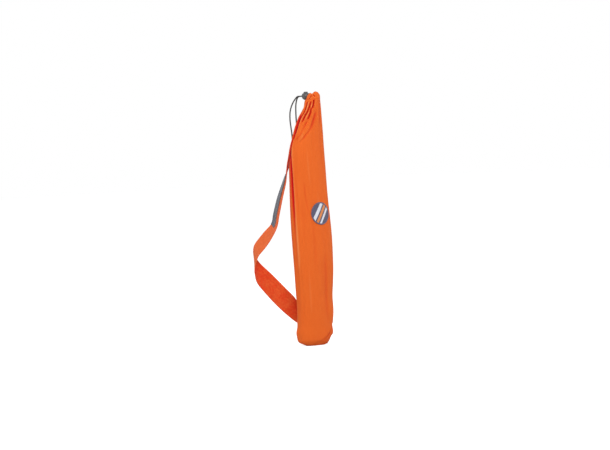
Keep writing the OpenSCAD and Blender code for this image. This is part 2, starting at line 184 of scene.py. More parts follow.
class SackSizes(bpy.types.PropertyGroup):
    """Sizes of the cloth sack"""

    half_width: length("Half width", "Half of the body's width at its belly", 44.5 * MM)
    half_depth: length("Half depth", "Half of the body's depth at its belly", 30.5 * MM)
    swell: length("Swell", "How far the belly stands out from the plain body", 4.5 * MM)
    swell_height: length("Swell height", "Height of the fullest part of the belly", 200 * MM)
    swell_spread: length("Swell spread", "How far the belly spreads up and down", 75 * MM)
    shoulder: length("Shoulder", "Height at which the neck begins", 352 * MM)
    mouth_height: length("Mouth height", "Height at which the hem begins", SLEEVE_HIGH.z)
    mouth_half_width: length("Mouth half width", "Half of the gathered mouth's width", 15 * MM)
    mouth_half_depth: length("Mouth half depth", "Half of the gathered mouth's depth", 13 * MM)
    mouth_x: length("Mouth offset across", "How far the mouth leans to the right", 20.5 * MM)
    mouth_y: length("Mouth offset forward", "How far the mouth leans back", -8 * MM)
    foot_inset: length("Foot inset", "How far the cloth turns in at the floor", 8 * MM)
    foot_height: length("Foot height", "Height of the turned-in foot", 14 * MM)
    cloth: length("Cloth", "Thickness of the cloth", 0.8 * MM)
    bow: length("Bow", "How far the packed body bows to the right of the picture", 3.2 * MM)
    bow_height: length("Bow height", "Height of the bow's furthest point", 160 * MM)
    neck_curve: FloatProperty(name="Neck curve", description="How late the neck draws in", default=2.1)
    roundness: FloatProperty(name="Roundness", description="Power of the body's oval", default=2.2)


class StrapSizes(bpy.types.PropertyGroup):
    """Sizes of the webbing strap and its label"""

    width: length("Width", "Width of the webbing", 38 * MM)
    thickness: length("Thickness", "Thickness of the webbing", 1.8 * MM)
    reach: length("Reach", "How far the loose loop stands out", 74 * MM)
    loop_top: length("Loop top", "Height at which the loose loop begins", 356 * MM)
    loop_foot: length("Loop foot", "Height at which the loose loop ends", 73 * MM)
    swing_x: length("Swing across", "Place of the loop's upright swing line", -6 * MM)
    swing_y: length("Swing back", "Place of the loop's upright swing line", 50 * MM)
    swing_turn: FloatProperty(
        name="Swing turn",
        description="Direction in which the loop stands out",
        default=math.radians(137.5),
        subtype="ANGLE",
    )
    label_width: length("Label width", "Width of the woven label", 23 * MM)
    label_shift: length("Label shift", "How far the label sits off the strap's middle", 7 * MM)
    label_thickness: length("Label thickness", "Thickness of the woven label", 0.7 * MM)


class CordSizes(bpy.types.PropertyGroup):
    """Sizes of the drawcord"""

    diameter: length("Diameter", "Diameter of the drawcord", 2.8 * MM)
    free_length: length("Free length", "Length of the free loop behind the lock", 210.3 * MM)
    inset: length("Inset", "Depth of the cord inside the hem", 3.1 * MM)


class SackColours(bpy.types.PropertyGroup):
    """Colours of the sack's materials"""

    cloth: colour("Cloth", "Main colour of the cloth", (0.80, 0.148, 0.020))
    # Also painted shade: mixed into shallow folds by the ridge attribute, besides the gaps between threads
    # and ribs.
    cloth_gap_and_shade: colour("Deep cloth", "Colour of the cloth between its threads", (0.70, 0.080, 0.012))
    # Painted shade: the saturated red laid deep in the cloth's folds and on the strap's inner face near its
    # upper bend.
    cloth_fold_shade: colour("Folded cloth", "Colour of the cloth deep in its folds", (0.58, 0.003, 0.006))
    # Painted shade: the dark red laid in the neck's valley beside the strap.
    cloth_valley_shade: colour("Cloth valley", "Colour of the cloth in the neck's valley", (0.24, 0.001, 0.010))
    # Painted highlight: pale colour laid on the cloth's raised folds, crease and seam welt; also the sewing
    # thread's paler twist.
    cloth_highlight_and_pale_thread: colour("Cloth highlight and pale thread", "Painted highlight on the cloth's ridges, and the sewing thread's paler twist", (0.88, 0.29, 0.090))
    webbing: colour("Webbing", "Colour of the strap's outer face", (0.84, 0.158, 0.033))
    webbing_inner: colour("Inner webbing", "Colour of the strap's inner face", (0.78, 0.060, 0.010))
    label: colour("Label", "Colour of the woven label", (0.050, 0.056, 0.082))
    cord: colour("Cord", "Colour of the drawcord", (0.075, 0.072, 0.072))
    plastic: colour("Plastic", "Colour of the cord lock", (0.082, 0.078, 0.078))
    badge_dark: colour("Badge dark", "Dark stripe of the badge", (0.075, 0.070, 0.122))
    badge_pale: colour("Badge pale", "Pale stripe of the badge", (0.80, 0.82, 0.89))
    badge_warm: colour("Badge warm", "Warm stripe of the badge", (0.80, 0.255, 0.045))


def ease(value):
    """Smooth step from 0 at 0 to 1 at 1: three v squared less two v cubed."""
    share = np.clip(value, 0.0, 1.0)
    return share * share * (3.0 - 2.0 * share)


def bell(value):
    """Bell curve: e to the power of minus v squared."""
    return np.exp(-value * value)


def signed_power(value, power):
    """A power of the size of v that keeps the sign of v."""
    return np.sign(value) * np.abs(value) ** power


def unit(vectors):
    """Vectors divided by their own lengths."""
    return vectors / np.linalg.norm(vectors, axis=-1, keepdims=True)


def around(turn):
    """Level direction at a turn in radians from the X axis."""
    return np.stack([np.cos(turn), np.sin(turn), np.zeros_like(turn)], axis=-1)


def smooth_line(points, steps):
    """Points on a Catmull-Rom spline: each span blends its four nearest stations with cubic weights."""
    stations = np.asarray(points, float)
    padded = np.concatenate([stations[:1], stations, stations[-1:]])
    share = (np.arange(steps) / steps)[None, :, None]
    before, start, end, after = (padded[i : len(padded) - 3 + i][:, None, :] for i in range(4))
    curve = 0.5 * (
        2 * start
        + (end - before) * share
        + (2 * before - 5 * start + 4 * end - after) * share**2
        + (3 * start - before - 3 * end + after) * share**3
    )
    return np.concatenate([curve.reshape(-1, stations.shape[1]), stations[-1:]])


def follow(line, place):
    """Second column of a line of knots at a place along its first, on a smooth curve through the knots."""
    curve = smooth_line(line, 8)
    return np.interp(place, curve[:, 0], curve[:, 1])


def run_along(points):
    """Distance along a line of points from its first point."""
    return np.concatenate([[0.0], np.cumsum(np.linalg.norm(np.diff(points, axis=0), axis=1))])


def averaged(values, reach):
    """Rows of values, each averaged with as many rows as the reach on either side, by weights that fade
    by a cosine."""
    weights = np.hanning(2 * reach + 3)[1:-1]
    padded = np.pad(values, ((reach, reach), (0, 0)), mode="edge")
    columns = [np.convolve(column, weights / weights.sum(), mode="valid") for column in padded.T]
    return np.stack(columns, axis=-1)


def even_spacing(points, spacing):
    """The same line with rows resampled to one spacing along its first three columns."""
    run = run_along(points[:, :3])
    even = np.linspace(0.0, run[-1], int(round(run[-1] / spacing)) + 1)
    return np.stack([np.interp(even, run, column) for column in points.T], axis=-1)


def grid_object(name, points, uv, wrap=False, capped=False, values=None):
    """Object whose mesh joins a grid of points, rows by columns, into quads. A wrapped grid closes round its
    columns, and its uv has one more column than its points. Capped ends close its first and last row."""
    rows, columns = points.shape[:2]
    row = np.arange(rows - 1)[:, None]
    column = np.arange(columns if wrap else columns - 1)[None, :]
    after = (column + 1) % columns
    wide = columns + 1 if wrap else columns
    quads = np.stack(
        [
            row * columns + column,
            row * columns + after,
            (row + 1) * columns + after,
            (row + 1) * columns + column,
        ],
        axis=-1,
    ).reshape(-1, 4)
    corners = np.stack(
        [
            row * wide + column,
            row * wide + column + 1,
            (row + 1) * wide + column + 1,
            (row + 1) * wide + column,
        ],
        axis=-1,
    ).reshape(-1)
    faces = quads.tolist()
    loop_uv = uv.reshape(-1, 2)[corners]
    if capped:
        first = list(range(columns))[::-1]
        last = list(range((rows - 1) * columns, rows * columns))
        faces += [first, last]
        caps = [uv[0, :columns][::-1], uv[-1, :columns]]
        loop_uv = np.concatenate([loop_uv, *caps])
    mesh = bpy.data.meshes.new(name)
    mesh.from_pydata(points.reshape(-1, 3).tolist(), [], faces)
    layer = mesh.uv_layers.new(name="UVMap")
    layer.data.foreach_set("uv", loop_uv.astype(np.float32).ravel())
    for key, grid in (values or {}).items():
        attribute = mesh.attributes.new(key, "FLOAT", "POINT")
        attribute.data.foreach_set("value", np.broadcast_to(grid, (rows, columns)).astype(np.float32).ravel())
    mesh.polygons.foreach_set("use_smooth", np.ones(len(mesh.polygons), bool))
    mesh.update()
    piece = bpy.data.objects.new(name, mesh)
    bpy.context.scene.collection.objects.link(piece)
    return piece


def grid_uv(across, along):
    """UV map whose u runs with the columns and v with the rows."""
    u, v = np.meshgrid(across, along)
    return np.stack([u, v], axis=-1)


def tube_object(name, path, diameter, sides=14):
    """Round tube along a path: circles in frames that turn as little as possible from one point to the
    next."""
    tangent = unit(np.gradient(path, axis=0))
    side = np.zeros_like(tangent)
    side[0] = unit(np.cross(tangent[0], (0.31, 0.17, 0.94)))
    for i in range(1, len(path)):
        side[i] = unit(side[i - 1] - tangent[i] * (side[i - 1] @ tangent[i]))
    rise = np.cross(tangent, side)
    angle = np.linspace(0.0, 2 * math.pi, sides, endpoint=False)
    ring = side[:, None, :] * np.cos(angle)[None, :, None] + rise[:, None, :] * np.sin(angle)[None, :, None]
    points = path[:, None, :] + ring * diameter / 2
    uv = grid_uv(np.linspace(0.0, 1.0, sides + 1), run_along(path))
    return grid_object(name, points, uv, wrap=True, capped=True)


def stitches_object(name, starts, ends, lifts, radius):
    """Row of thread stitches: each is a short spindle from its start to its end, bowed out along its lift."""
    sides = 6
    share = np.linspace(0.0, 1.0, 5)
    thickness = np.sin(math.pi * np.clip(share, 0.06, 0.94)) ** 0.5
    angle = np.linspace(2 * math.pi, 0.0, sides, endpoint=False)
    along = unit(ends - starts)
    side = np.cross(along, lifts)
    line = starts[:, None, :] + (ends - starts)[:, None, :] * share[None, :, None]
    line = line + lifts[:, None, :] * (np.sin(math.pi * share) * radius * 0.8)[None, :, None]
    ring = side[:, None, :] * np.cos(angle)[None, :, None] + lifts[:, None, :] * np.sin(angle)[None, :, None]
    points = line[:, :, None, :] + ring[:, None, :, :] * (radius * thickness)[None, :, None, None]
    count = len(starts)
    base = np.arange(count)[:, None, None] * len(share) * sides
    row = np.arange(len(share) - 1)[None, :, None] * sides
    column = np.arange(sides)[None, None, :]
    after = (column + 1) % sides
    quads = np.stack(
        [
            base + row + column,
            base + row + after,
            base + row + sides + after,
            base + row + sides + column,
        ],
        axis=-1,
    ).reshape(-1, 4)
    first = base[:, :, 0] + np.arange(sides)[None, ::-1]
    last = base[:, :, 0] + (len(share) - 1) * sides + np.arange(sides)[None, :]
    mesh = bpy.data.meshes.new(name)
    mesh.from_pydata(points.reshape(-1, 3).tolist(), [], quads.tolist() + first.tolist() + last.tolist())
    mesh.polygons.foreach_set("use_smooth", np.ones(len(mesh.polygons), bool))
    mesh.update()
    piece = bpy.data.objects.new(name, mesh)
    bpy.context.scene.collection.objects.link(piece)
    return piece


def section(sack, z):
    """Half width, half depth, middle and power of the sack's oval at height z. The body swells by a bell
    curve about its belly and is drawn in towards the mouth by a power of the height above the shoulder.
    The foot turns in by the square of the height left under it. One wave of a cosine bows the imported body
    to one side."""
    drawn = np.clip((z - sack.shoulder) / (sack.mouth_height - sack.shoulder), 0.0, 1.0) ** sack.neck_curve
    swell = sack.swell * (np.exp(-(((z - sack.swell_height) / sack.swell_spread) ** 2) / 2) - 1.0)
    foot = sack.foot_inset * np.clip(1.0 - z / sack.foot_height, 0.0, 1.0) ** 2
    half_width = (sack.half_width + swell) * (1 - drawn) + sack.mouth_half_width * drawn - foot
    half_depth = (sack.half_depth + swell) * (1 - drawn) + sack.mouth_half_depth * drawn - foot
    bow = sack.bow * (1.0 - np.cos(math.pi * np.clip(z / sack.bow_height, 0.0, 2.0))) / 2
    middle_x = sack.mouth_x * drawn + 0.737 * bow
    middle_y = sack.mouth_y * drawn - 0.676 * bow
    power = sack.roundness + (2.0 - sack.roundness) * drawn
    return half_width, half_depth, middle_x, middle_y, power


def turn_from(turn, centre):
    """Signed turn from centre, in degrees between -180 and 180."""
    return (turn - centre + 180.0) % 360.0 - 180.0


def groove(distance, half_width, skew=1.0):
    """Cross section of a fold: a bell-shaped groove with a lower ridge on either side of it. A skew over
    one makes its right side wider, one under one its left side, and the wider side has no ridge."""
    distance = np.where(distance > 0, distance / skew, distance * skew)
    beside = bell((np.abs(distance) - 2.1 * half_width) / (1.1 * half_width))
    ridged = np.where(distance * (skew - 1.0) > 0, 0.0, 0.32)
    return ridged * beside - bell(distance / half_width)


def gathers(turn, z, reach):
    """Pleats that the drawcord gathers all round the neck: grooves at uneven turns, each deepening
    upwards from its own start. They leave out the front, where the single folds lie."""
    total = np.zeros(np.broadcast_shapes(turn.shape, z.shape))
    for k in range(15):
        centre = 24.0 * k + 6.0 * math.sin(5.0 * k)
        start = (425.0 + 22.0 * math.sin(3.7 * k)) * MM
        depth = (1.7 + 0.5 * math.sin(2.3 * k)) * MM
        front = float(ease((abs(turn_from(centre, 235.0)) - 90.0) / 40.0))
        half_width = (1.5 + 0.35 * math.sin(4.1 * k)) * MM
        lean = turn_from(turn, centre + 70.0 * (z - 0.492) * math.sin(1.9 * k))
        total = total + front * depth * ease((z - start) / 0.055) * groove(lean * reach, half_width)
    return total


def surface_reach(sack, turn, z):
    """Length on the sack's oval of one degree of turn."""
    half_width, half_depth = section(sack, z)[:2]
    angle = np.radians(turn)
    return np.hypot(half_width * np.sin(angle), half_depth * np.cos(angle)) * math.pi / 180.0


def left_crease(sack, turn, z):
    """Height and painted shade of the crisp left edge of the front: a low ridge with a groove on its left
    that deepens upwards, and along the neck a deep valley that leaves the edge. The second value is painted
    shade, given as redness: in the groove, in the valley and on the cloth left of the edge."""
    reach = surface_reach(sack, turn, z)
    edge = turn_from(turn, follow(LEFT_EDGE, z / MM)) * reach / MM
    valley = turn_from(turn, follow(LEFT_VALLEY, z / MM)) * reach / MM
    run = ease((z - 0.100) / 0.140) * ease((0.466 - z) / 0.024)
    low = ease((z - 0.215) / 0.115) * ease((0.392 - z) / 0.030)
    high = ease((z - 0.330) / 0.045) * ease((0.468 - z) / 0.020)
    groove_line = bell((edge + 3.3) / 2.6)
    cut = high * bell(valley / 3.2)
    beside = ease((-1.5 - edge) / 2.0) * ease((turn - 100.0) / 30.0)
    beside = beside * ease((z - 0.100) / 0.150) * ease((0.420 - z) / 0.020)
    depth = 1.8 + 2.8 * ease((z - 0.385) / 0.030)
    height = 1.3 * run * bell((edge - 1.6) / 1.8) - (0.4 * run + 1.9 * low) * groove_line - depth * cut
    # The second value is painted shade: redness for the groove, the valley and the cloth beside the edge.
    return height * MM, 2.2 * low * groove_line + (7.2 - depth) * cut + 0.9 * beside


def corner_fold(turn, z):
    """Height above the pinched corner's fold, and how strongly the fold shows at a turn."""
    turns, heights = np.array(CORNER_FOLD).T
    window = ease((turn - 222.0) / 24.0) * ease((345.0 - turn) / 30.0)
    return z - np.interp(turn, turns, heights * MM), window


def foot_form(turn, z):
    """Height of the foot's own shape: the pinched corner's fold, the long slant under it, the rounded corner
    on the left, a bulge with a waist above it on both sides of the picture and a few dents on the right."""
    above, window = corner_fold(turn, z)
    pinch = np.tanh(above / (1.4 * MM)) * np.exp(-np.abs(above) / (7.0 * MM))
    total = np.where(above > 0, 0.8 * MM, 1.3 * MM) * window * pinch
    total = total - 7.4 * MM * ease((0.022 - z) / 0.014) * bell(turn_from(turn, 322.0) / 27.0)
    total = total - 11.0 * MM * np.clip(1.0 - z / 0.009, 0.0, 1.0) ** 2 * bell(turn_from(turn, 152.0) / 45.0)
    sides = bell(turn_from(turn, 317.0) / 34.0) + bell(turn_from(turn, 160.0) / 40.0)
    total = total + sides * (0.8 * MM * bell((z - 0.025) / 0.008) - 0.5 * MM * bell((z - 0.038) / 0.007))
    for centre, dents in ((152.0, LEFT_DENTS), (312.0, RIGHT_DENTS)):
        side = bell(turn_from(turn, centre) / 30.0)
        for height, spread_out, size in dents:
            total = total + side * size * MM * bell((z / MM - height) / spread_out)
    return total


def creases(sack, turn, z):
    """Height of the gathers, the crisp left edge, the single folds and a few slow waves of slack cloth at
    a turn in degrees and a height z."""
    reach = surface_reach(sack, turn, z)
    total = gathers(turn, z, reach) + left_crease(sack, turn, z)[0]
    for line, wide, deep, skew in CLOTH_FOLDS.values():
        low, high = line[0][0] * MM, line[-1][0] * MM
        share = (z - low) / (high - low)
        strength = ease(share / 0.25) * ease((1.0 - share) / 0.15)
        distance = turn_from(turn, follow(line, z / MM)) * reach
        total = total + deep * MM * strength * groove(distance, wide * MM, skew)
    angle = np.radians(turn)
    slack = ease((z - 0.030) / 0.050) * ease((0.470 - z) / 0.060)
    total = total + 0.30 * MM * slack * np.sin(3.0 * angle + z / 0.047)
    total = total + 0.22 * MM * slack * np.sin(11.0 * angle + 1.6 * np.sin(z / 0.083))
    return total + 0.12 * MM * slack * np.sin(23.0 * angle + 2.0 * np.sin(z / 0.061) + z / 0.031)


def side_push(turn, z):
    """How far the two sides of the picture stand off the plain form, each fading by a bell curve of the
    turn."""
    left = follow(LEFT_PUSH, z / MM) * MM * bell(turn_from(turn, LEFT_SIDE) / SIDE_SPREAD)
    return left + follow(RIGHT_PUSH, z / MM) * MM * bell(turn_from(turn, RIGHT_SIDE) / SIDE_SPREAD)


def folds(sack, turn, z):
    """Height of the cloth above the plain form: the creases, the shape of the foot and how far the two
    sides of the picture stand off."""
    return creases(sack, turn, z) + foot_form(turn, z) + side_push(turn, z)


def sack_point(sack, turn, z, lift=0.0, folded=True):
    """Point of the sack at a turn in degrees and a height z: the superellipse of the section, moved along
    its own level normal by the folds and by a lift."""
    turn, z = np.broadcast_arrays(np.asarray(turn, float), np.asarray(z, float))
    half_width, half_depth, middle_x, middle_y, power = section(sack, z)
    cosine = np.cos(np.radians(turn))
    sine = np.sin(np.radians(turn))
    normal_x = signed_power(cosine, 2 - 2 / power) / half_width
    normal_y = signed_power(sine, 2 - 2 / power) / half_depth
    push = lift + (folds(sack, turn % 360.0, z) if folded else 0.0)
    push = push / np.hypot(normal_x, normal_y)
    x = middle_x + half_width * signed_power(cosine, 2 / power) + normal_x * push
    y = middle_y + half_depth * signed_power(sine, 2 / power) + normal_y * push
    return np.stack([x, y, z], axis=-1)


def turn_at(sack, x, z, back=False):
    """Turn in degrees at which the front or the back of the sack's oval passes a place x at height z."""
    half_width, _, middle_x, _, power = section(sack, z)
    cosine = signed_power(np.clip((x - middle_x) / half_width, -1.0, 1.0), power / 2)
    turn = np.degrees(np.arccos(cosine))
    return turn if back else 360.0 - turn


def add_node(tree, kind, inputs=None, **settings):
    """Node of a kind with its settings and its inputs, each a value or another node's output."""
    node = tree.nodes.new(kind)
    for key, value in settings.items():
        setattr(node, key, value)
    for key, value in (inputs or {}).items():
        if isinstance(value, bpy.types.NodeSocket):
            tree.links.new(value, node.inputs[key])
        else:
            node.inputs[key].default_value = value
    return node


def calculate(tree, operation, *values):
    """Output of a Math node on one to three values."""
    return add_node(tree, "ShaderNodeMath", dict(enumerate(values)), operation=operation).outputs[0]


def mix_colour(tree, share, first, second):
    """Output of a colour mix."""
    inputs = {0: share, 6: first, 7: second}
    return add_node(tree, "ShaderNodeMix", inputs, data_type="RGBA").outputs[2]


def spread(tree, value, low, high, to_low=0.0, to_high=1.0):
    """Value carried from one range to another and held at its ends."""
    inputs = {"Value": value, "From Min": low, "From Max": high, "To Min": to_low, "To Max": to_high}
    return add_node(tree, "ShaderNodeMapRange", inputs).outputs[0]


def opaque(values, factor=1.0):
    """A linear colour with full alpha, made darker or paler by a factor."""
    return (*(min(1.0, factor * value) for value in values), 1.0)


def uv_place(tree):
    """Outputs of the UV map's two places."""
    uv = add_node(tree, "ShaderNodeUVMap").outputs["UV"]
    return add_node(tree, "ShaderNodeSeparateXYZ", {0: uv}).outputs


def object_place(tree):
    """Output of the Object coordinates."""
    return add_node(tree, "ShaderNodeTexCoord").outputs["Object"]


def noise(tree, place, scale, detail):
    """Output of a noise at a place."""
    inputs = {"Vector": place, "Scale": scale, "Detail": detail}
    return add_node(tree, "ShaderNodeTexNoise", inputs).outputs[0]


def new_group(name, inputs, outputs):
    """Shader node group with named number inputs and number outputs, and its two end nodes."""
    group = bpy.data.node_groups.new(name, "ShaderNodeTree")
    for key, value in inputs.items():
        socket = group.interface.new_socket(key, in_out="INPUT", socket_type="NodeSocketFloat")
        socket.default_value = value
    for key in outputs:
        group.interface.new_socket(key, in_out="OUTPUT", socket_type="NodeSocketFloat")
    return group, group.nodes.new("NodeGroupInput").outputs, group.nodes.new("NodeGroupOutput")


def plain_weave_group():
    """Plain weave on the UV map: warp and weft are arched threads, and a checker of the two sines' signs says
    which of them lies on top."""
    if "Plain weave" in bpy.data.node_groups:
        return bpy.data.node_groups["Plain weave"]
    group, given, result = new_group("Plain weave", {"Threads": 2000.0}, ("Height", "Gap"))
    place = uv_place(group)
    waves = []
    for axis in (0, 1):
        count = calculate(group, "MULTIPLY", place[axis], given["Threads"])
        phase = calculate(group, "MULTIPLY", count, math.pi)
        waves.append(calculate(group, "SINE", phase))
    warp = calculate(group, "ABSOLUTE", waves[0])
    weft = calculate(group, "ABSOLUTE", waves[1])
    over = calculate(group, "GREATER_THAN", calculate(group, "MULTIPLY", waves[0], waves[1]), 0.0)
    height = add_node(group, "ShaderNodeMix", {0: over, 2: warp, 3: weft}, data_type="FLOAT").outputs[0]
    gap = calculate(group, "SUBTRACT", 1.0, calculate(group, "MAXIMUM", warp, weft))
    group.links.new(height, result.inputs["Height"])
    group.links.new(gap, result.inputs["Gap"])
    return group


def mottle_group():
    """Slow uneven tone on Object coordinates: a broad noise and a fine one, added in given shares."""
    if "Mottle" in bpy.data.node_groups:
        return bpy.data.node_groups["Mottle"]
    group, given, result = new_group("Mottle", {"Broad": 30.0, "Fine": 400.0, "Fine share": 0.4}, ("Tone",))
    place = object_place(group)
    broad = noise(group, place, given["Broad"], 3.0)
    fine = noise(group, place, given["Fine"], 2.0)
    inputs = {0: given["Fine share"], 2: broad, 3: fine}
    tone = add_node(group, "ShaderNodeMix", inputs, data_type="FLOAT").outputs[0]
    group.links.new(spread(group, tone, 0.3, 0.7), result.inputs["Tone"])
    return group


def use_group(tree, group, **values):
    """Outputs of a group node placed in a material with its own values."""
    node = tree.nodes.new("ShaderNodeGroup")
    node.node_tree = group
    for key, value in values.items():
        node.inputs[key.replace("_", " ")].default_value = value
    return node.outputs


def new_material(name, **constants):
    """Material with one Principled shader whose plain numbers and colours are set on its own sockets."""
    if name in bpy.data.materials:
        raise RuntimeError(f"the material {name} is made twice")
    material = bpy.data.materials.new(name)
    material.use_nodes = True
    shader = material.node_tree.nodes["Principled BSDF"]
    for key, value in constants.items():
        shader.inputs[key.replace("_", " ")].default_value = value
    return material, material.node_tree, shader


def surface(tree, shader, body, roughness, *layers):
    """Links a colour and a roughness to the shader, and bump nodes in a chain to its normal, each with its
    height and its depth in metres."""
    tree.links.new(body, shader.inputs["Base Color"])
    tree.links.new(roughness, shader.inputs["Roughness"])
    normal = None
    for height, depth in layers:
        inputs = {"Strength": 1.0, "Distance": depth, "Height": height}
        if normal is not None:
            inputs["Normal"] = normal
        normal = add_node(tree, "ShaderNodeBump", inputs).outputs[0]
    tree.links.new(normal, shader.inputs["Normal"])


def cloth_material(colours):
    """Sack cloth: fine plain weave, crumpled, deeper between threads, with painted shade in its folds and the
    neck's valley, and a painted highlight on its ridges.
    """
    if "orange_cloth" in bpy.data.materials:
        return bpy.data.materials["orange_cloth"]
    material, tree, shader = new_material("orange_cloth", Sheen_Weight=0.02, Specular_IOR_Level=0.1)
    weave = use_group(tree, plain_weave_group(), Threads=1900.0)
    tone = use_group(tree, mottle_group(), Broad=22.0, Fine=260.0, Fine_share=0.45)["Tone"]
    uv = add_node(tree, "ShaderNodeUVMap").outputs["UV"]
    stretched = add_node(tree, "ShaderNodeMapping", {"Vector": uv, "Scale": (900.0, 26.0, 1.0)}).outputs[0]
    streak = noise(tree, stretched, 1.0, 2.0)
    ridge = add_node(tree, "ShaderNodeAttribute", attribute_name="ridge").outputs["Fac"]
    deep = calculate(tree, "MULTIPLY", calculate(tree, "ADD", spread(tree, streak, 0.35, 0.75), tone), 0.16)
    deep = calculate(tree, "ADD", deep, calculate(tree, "MULTIPLY", weave["Gap"], 0.25))
    body = mix_colour(tree, deep, opaque(colours.cloth), opaque(colours.cloth_gap_and_shade))
    # Painted shade: shallow folds, where the ridge attribute is below zero, darken towards the gap colour.
    body = mix_colour(tree, spread(tree, ridge, -0.2, -1.4, 0.0, 0.7), body, opaque(colours.cloth_gap_and_shade))
    # Painted shade: deeper folds, where the ridge attribute is far below zero, turn the saturated fold-shade
    # red.
    body = mix_colour(tree, spread(tree, ridge, -0.9, -2.8, 0.0, 0.97), body, opaque(colours.cloth_fold_shade))
    # Painted shade: the neck's valley turns dark red.
    body = mix_colour(tree, spread(tree, ridge, -4.6, -6.8, 0.0, 0.9), body, opaque(colours.cloth_valley_shade))
    # Painted highlight: raised folds, the crease and the seam welt turn pale where the ridge attribute is
    # over 0.4.
    body = mix_colour(tree, spread(tree, ridge, 0.4, 1.6, 0.0, 0.7), body, opaque(colours.cloth_highlight_and_pale_thread))
    place = object_place(tree)
    crumple = noise(tree, place, 70.0, 4.0)
    roughness = spread(tree, tone, 0.0, 1.0, 0.70, 0.86)
    surface(tree, shader, body, roughness, (crumple, 0.7 * MM), (weave["Height"], 0.07 * MM))
    return material


def webbing_material(colours):
    """Strap webbing: herringbone ribs and a redder, mottled inner face."""
    material, tree, shader = new_material("orange_webbing", Sheen_Weight=0.04, Specular_IOR_Level=0.2)
    place = uv_place(tree)
    zigzag = calculate(tree, "PINGPONG", place[0], 3.2 * MM)
    phase = calculate(tree, "MULTIPLY", calculate(tree, "ADD", place[1], zigzag), 2 * math.pi / (2.2 * MM))
    rib = spread(tree, calculate(tree, "SINE", phase), -1.0, 1.0)
    weave = use_group(tree, plain_weave_group(), Threads=1300.0)
    tone = use_group(tree, mottle_group(), Broad=60.0, Fine=300.0, Fine_share=0.5)["Tone"]
    inner = add_node(tree, "ShaderNodeAttribute", attribute_name="inner").outputs["Fac"]
    between = calculate(tree, "SUBTRACT", 1.0, rib)
    shade = calculate(tree, "MULTIPLY", calculate(tree, "ADD", tone, between), 0.22)
    outer_face = mix_colour(tree, shade, opaque(colours.webbing), opaque(colours.cloth_gap_and_shade))
    patch = spread(tree, tone, 0.25, 0.8, 0.0, 0.6)
    inner_face = mix_colour(tree, patch, opaque(colours.webbing_inner), opaque(colours.webbing))
    # Painted shade: inner values over one turn the inner face towards the fold-shade red near the strap's
    # upper bend.
    inner_face = mix_colour(tree, spread(tree, inner, 1.0, 2.0), inner_face, opaque(colours.cloth_fold_shade))
    body = mix_colour(tree, inner, outer_face, inner_face)
    roughness = spread(tree, rib, 0.0, 1.0, 0.86, 0.7)
    surface(tree, shader, body, roughness, (rib, 0.28 * MM), (weave["Height"], 0.08 * MM))
    return material


def label_material(colours):
    """Woven label: slate ribs with a paler woven line along each side."""
    material, tree, shader = new_material("slate_label", Sheen_Weight=0.2, Specular_IOR_Level=0.35)
    weave = use_group(tree, plain_weave_group(), Threads=2600.0)
    tone = use_group(tree, mottle_group(), Broad=45.0, Fine=500.0, Fine_share=0.5)["Tone"]
    across = uv_place(tree)[0]
    beyond = calculate(tree, "SUBTRACT", calculate(tree, "ABSOLUTE", across), 10.2 * MM)
    margin = calculate(tree, "ABSOLUTE", beyond)
    line = spread(tree, margin, 0.55 * MM, 0.25 * MM)
    body = mix_colour(tree, tone, opaque(colours.label, 0.72), opaque(colours.label))
    body = mix_colour(tree, calculate(tree, "MULTIPLY", line, 0.7), body, opaque(colours.label, 2.4))
    surface(tree, shader, body, spread(tree, tone, 0.0, 1.0, 0.55, 0.72), (weave["Height"], 0.08 * MM))
    return material


def cord_material(colours):
    """Braided cord: two families of strands cross round it, the higher one showing."""
    if "braided_cord" in bpy.data.materials:
        return bpy.data.materials["braided_cord"]
    material, tree, shader = new_material("braided_cord", Sheen_Weight=0.1, Specular_IOR_Level=0.35)
    place = uv_place(tree)
    round_phase = calculate(tree, "MULTIPLY", place[0], 2 * math.pi * 5)
    along_phase = calculate(tree, "MULTIPLY", place[1], 2 * math.pi / (2.4 * MM))
    rising = calculate(tree, "SINE", calculate(tree, "ADD", round_phase, along_phase))
    falling = calculate(tree, "SINE", calculate(tree, "SUBTRACT", round_phase, along_phase))
    height = spread(tree, calculate(tree, "MAXIMUM", rising, falling), -0.4, 1.0)
    body = mix_colour(tree, height, opaque(colours.cord, 0.45), opaque(colours.cord))
    surface(tree, shader, body, spread(tree, height, 0.0, 1.0, 0.85, 0.6), (height, 0.35 * MM))
    return material


def plastic_material(colours):
    """Moulded plastic: charcoal with a fine spark-eroded grain and a slightly uneven gloss."""
    material, tree, shader = new_material("charcoal_plastic", Specular_IOR_Level=0.5)
    place = object_place(tree)
    grain = noise(tree, place, 2600.0, 2.0)
    tone = use_group(tree, mottle_group(), Broad=160.0, Fine=1500.0, Fine_share=0.3)["Tone"]
    body = mix_colour(tree, tone, opaque(colours.plastic, 0.7), opaque(colours.plastic))
    surface(tree, shader, body, spread(tree, tone, 0.0, 1.0, 0.34, 0.5), (grain, 0.05 * MM))
    return material


def spring_material():
    """Spring wire: drawn steel with lengthwise brush marks."""
    material, tree, shader = new_material("drawn_spring_steel", Metallic=1.0)
    tone = use_group(tree, mottle_group(), Broad=400.0, Fine=3000.0, Fine_share=0.6)["Tone"]
    body = mix_colour(tree, tone, (0.42, 0.42, 0.43, 1.0), (0.58, 0.58, 0.58, 1.0))
    surface(tree, shader, body, spread(tree, tone, 0.0, 1.0, 0.25, 0.42), (tone, 0.01 * MM))
    return material


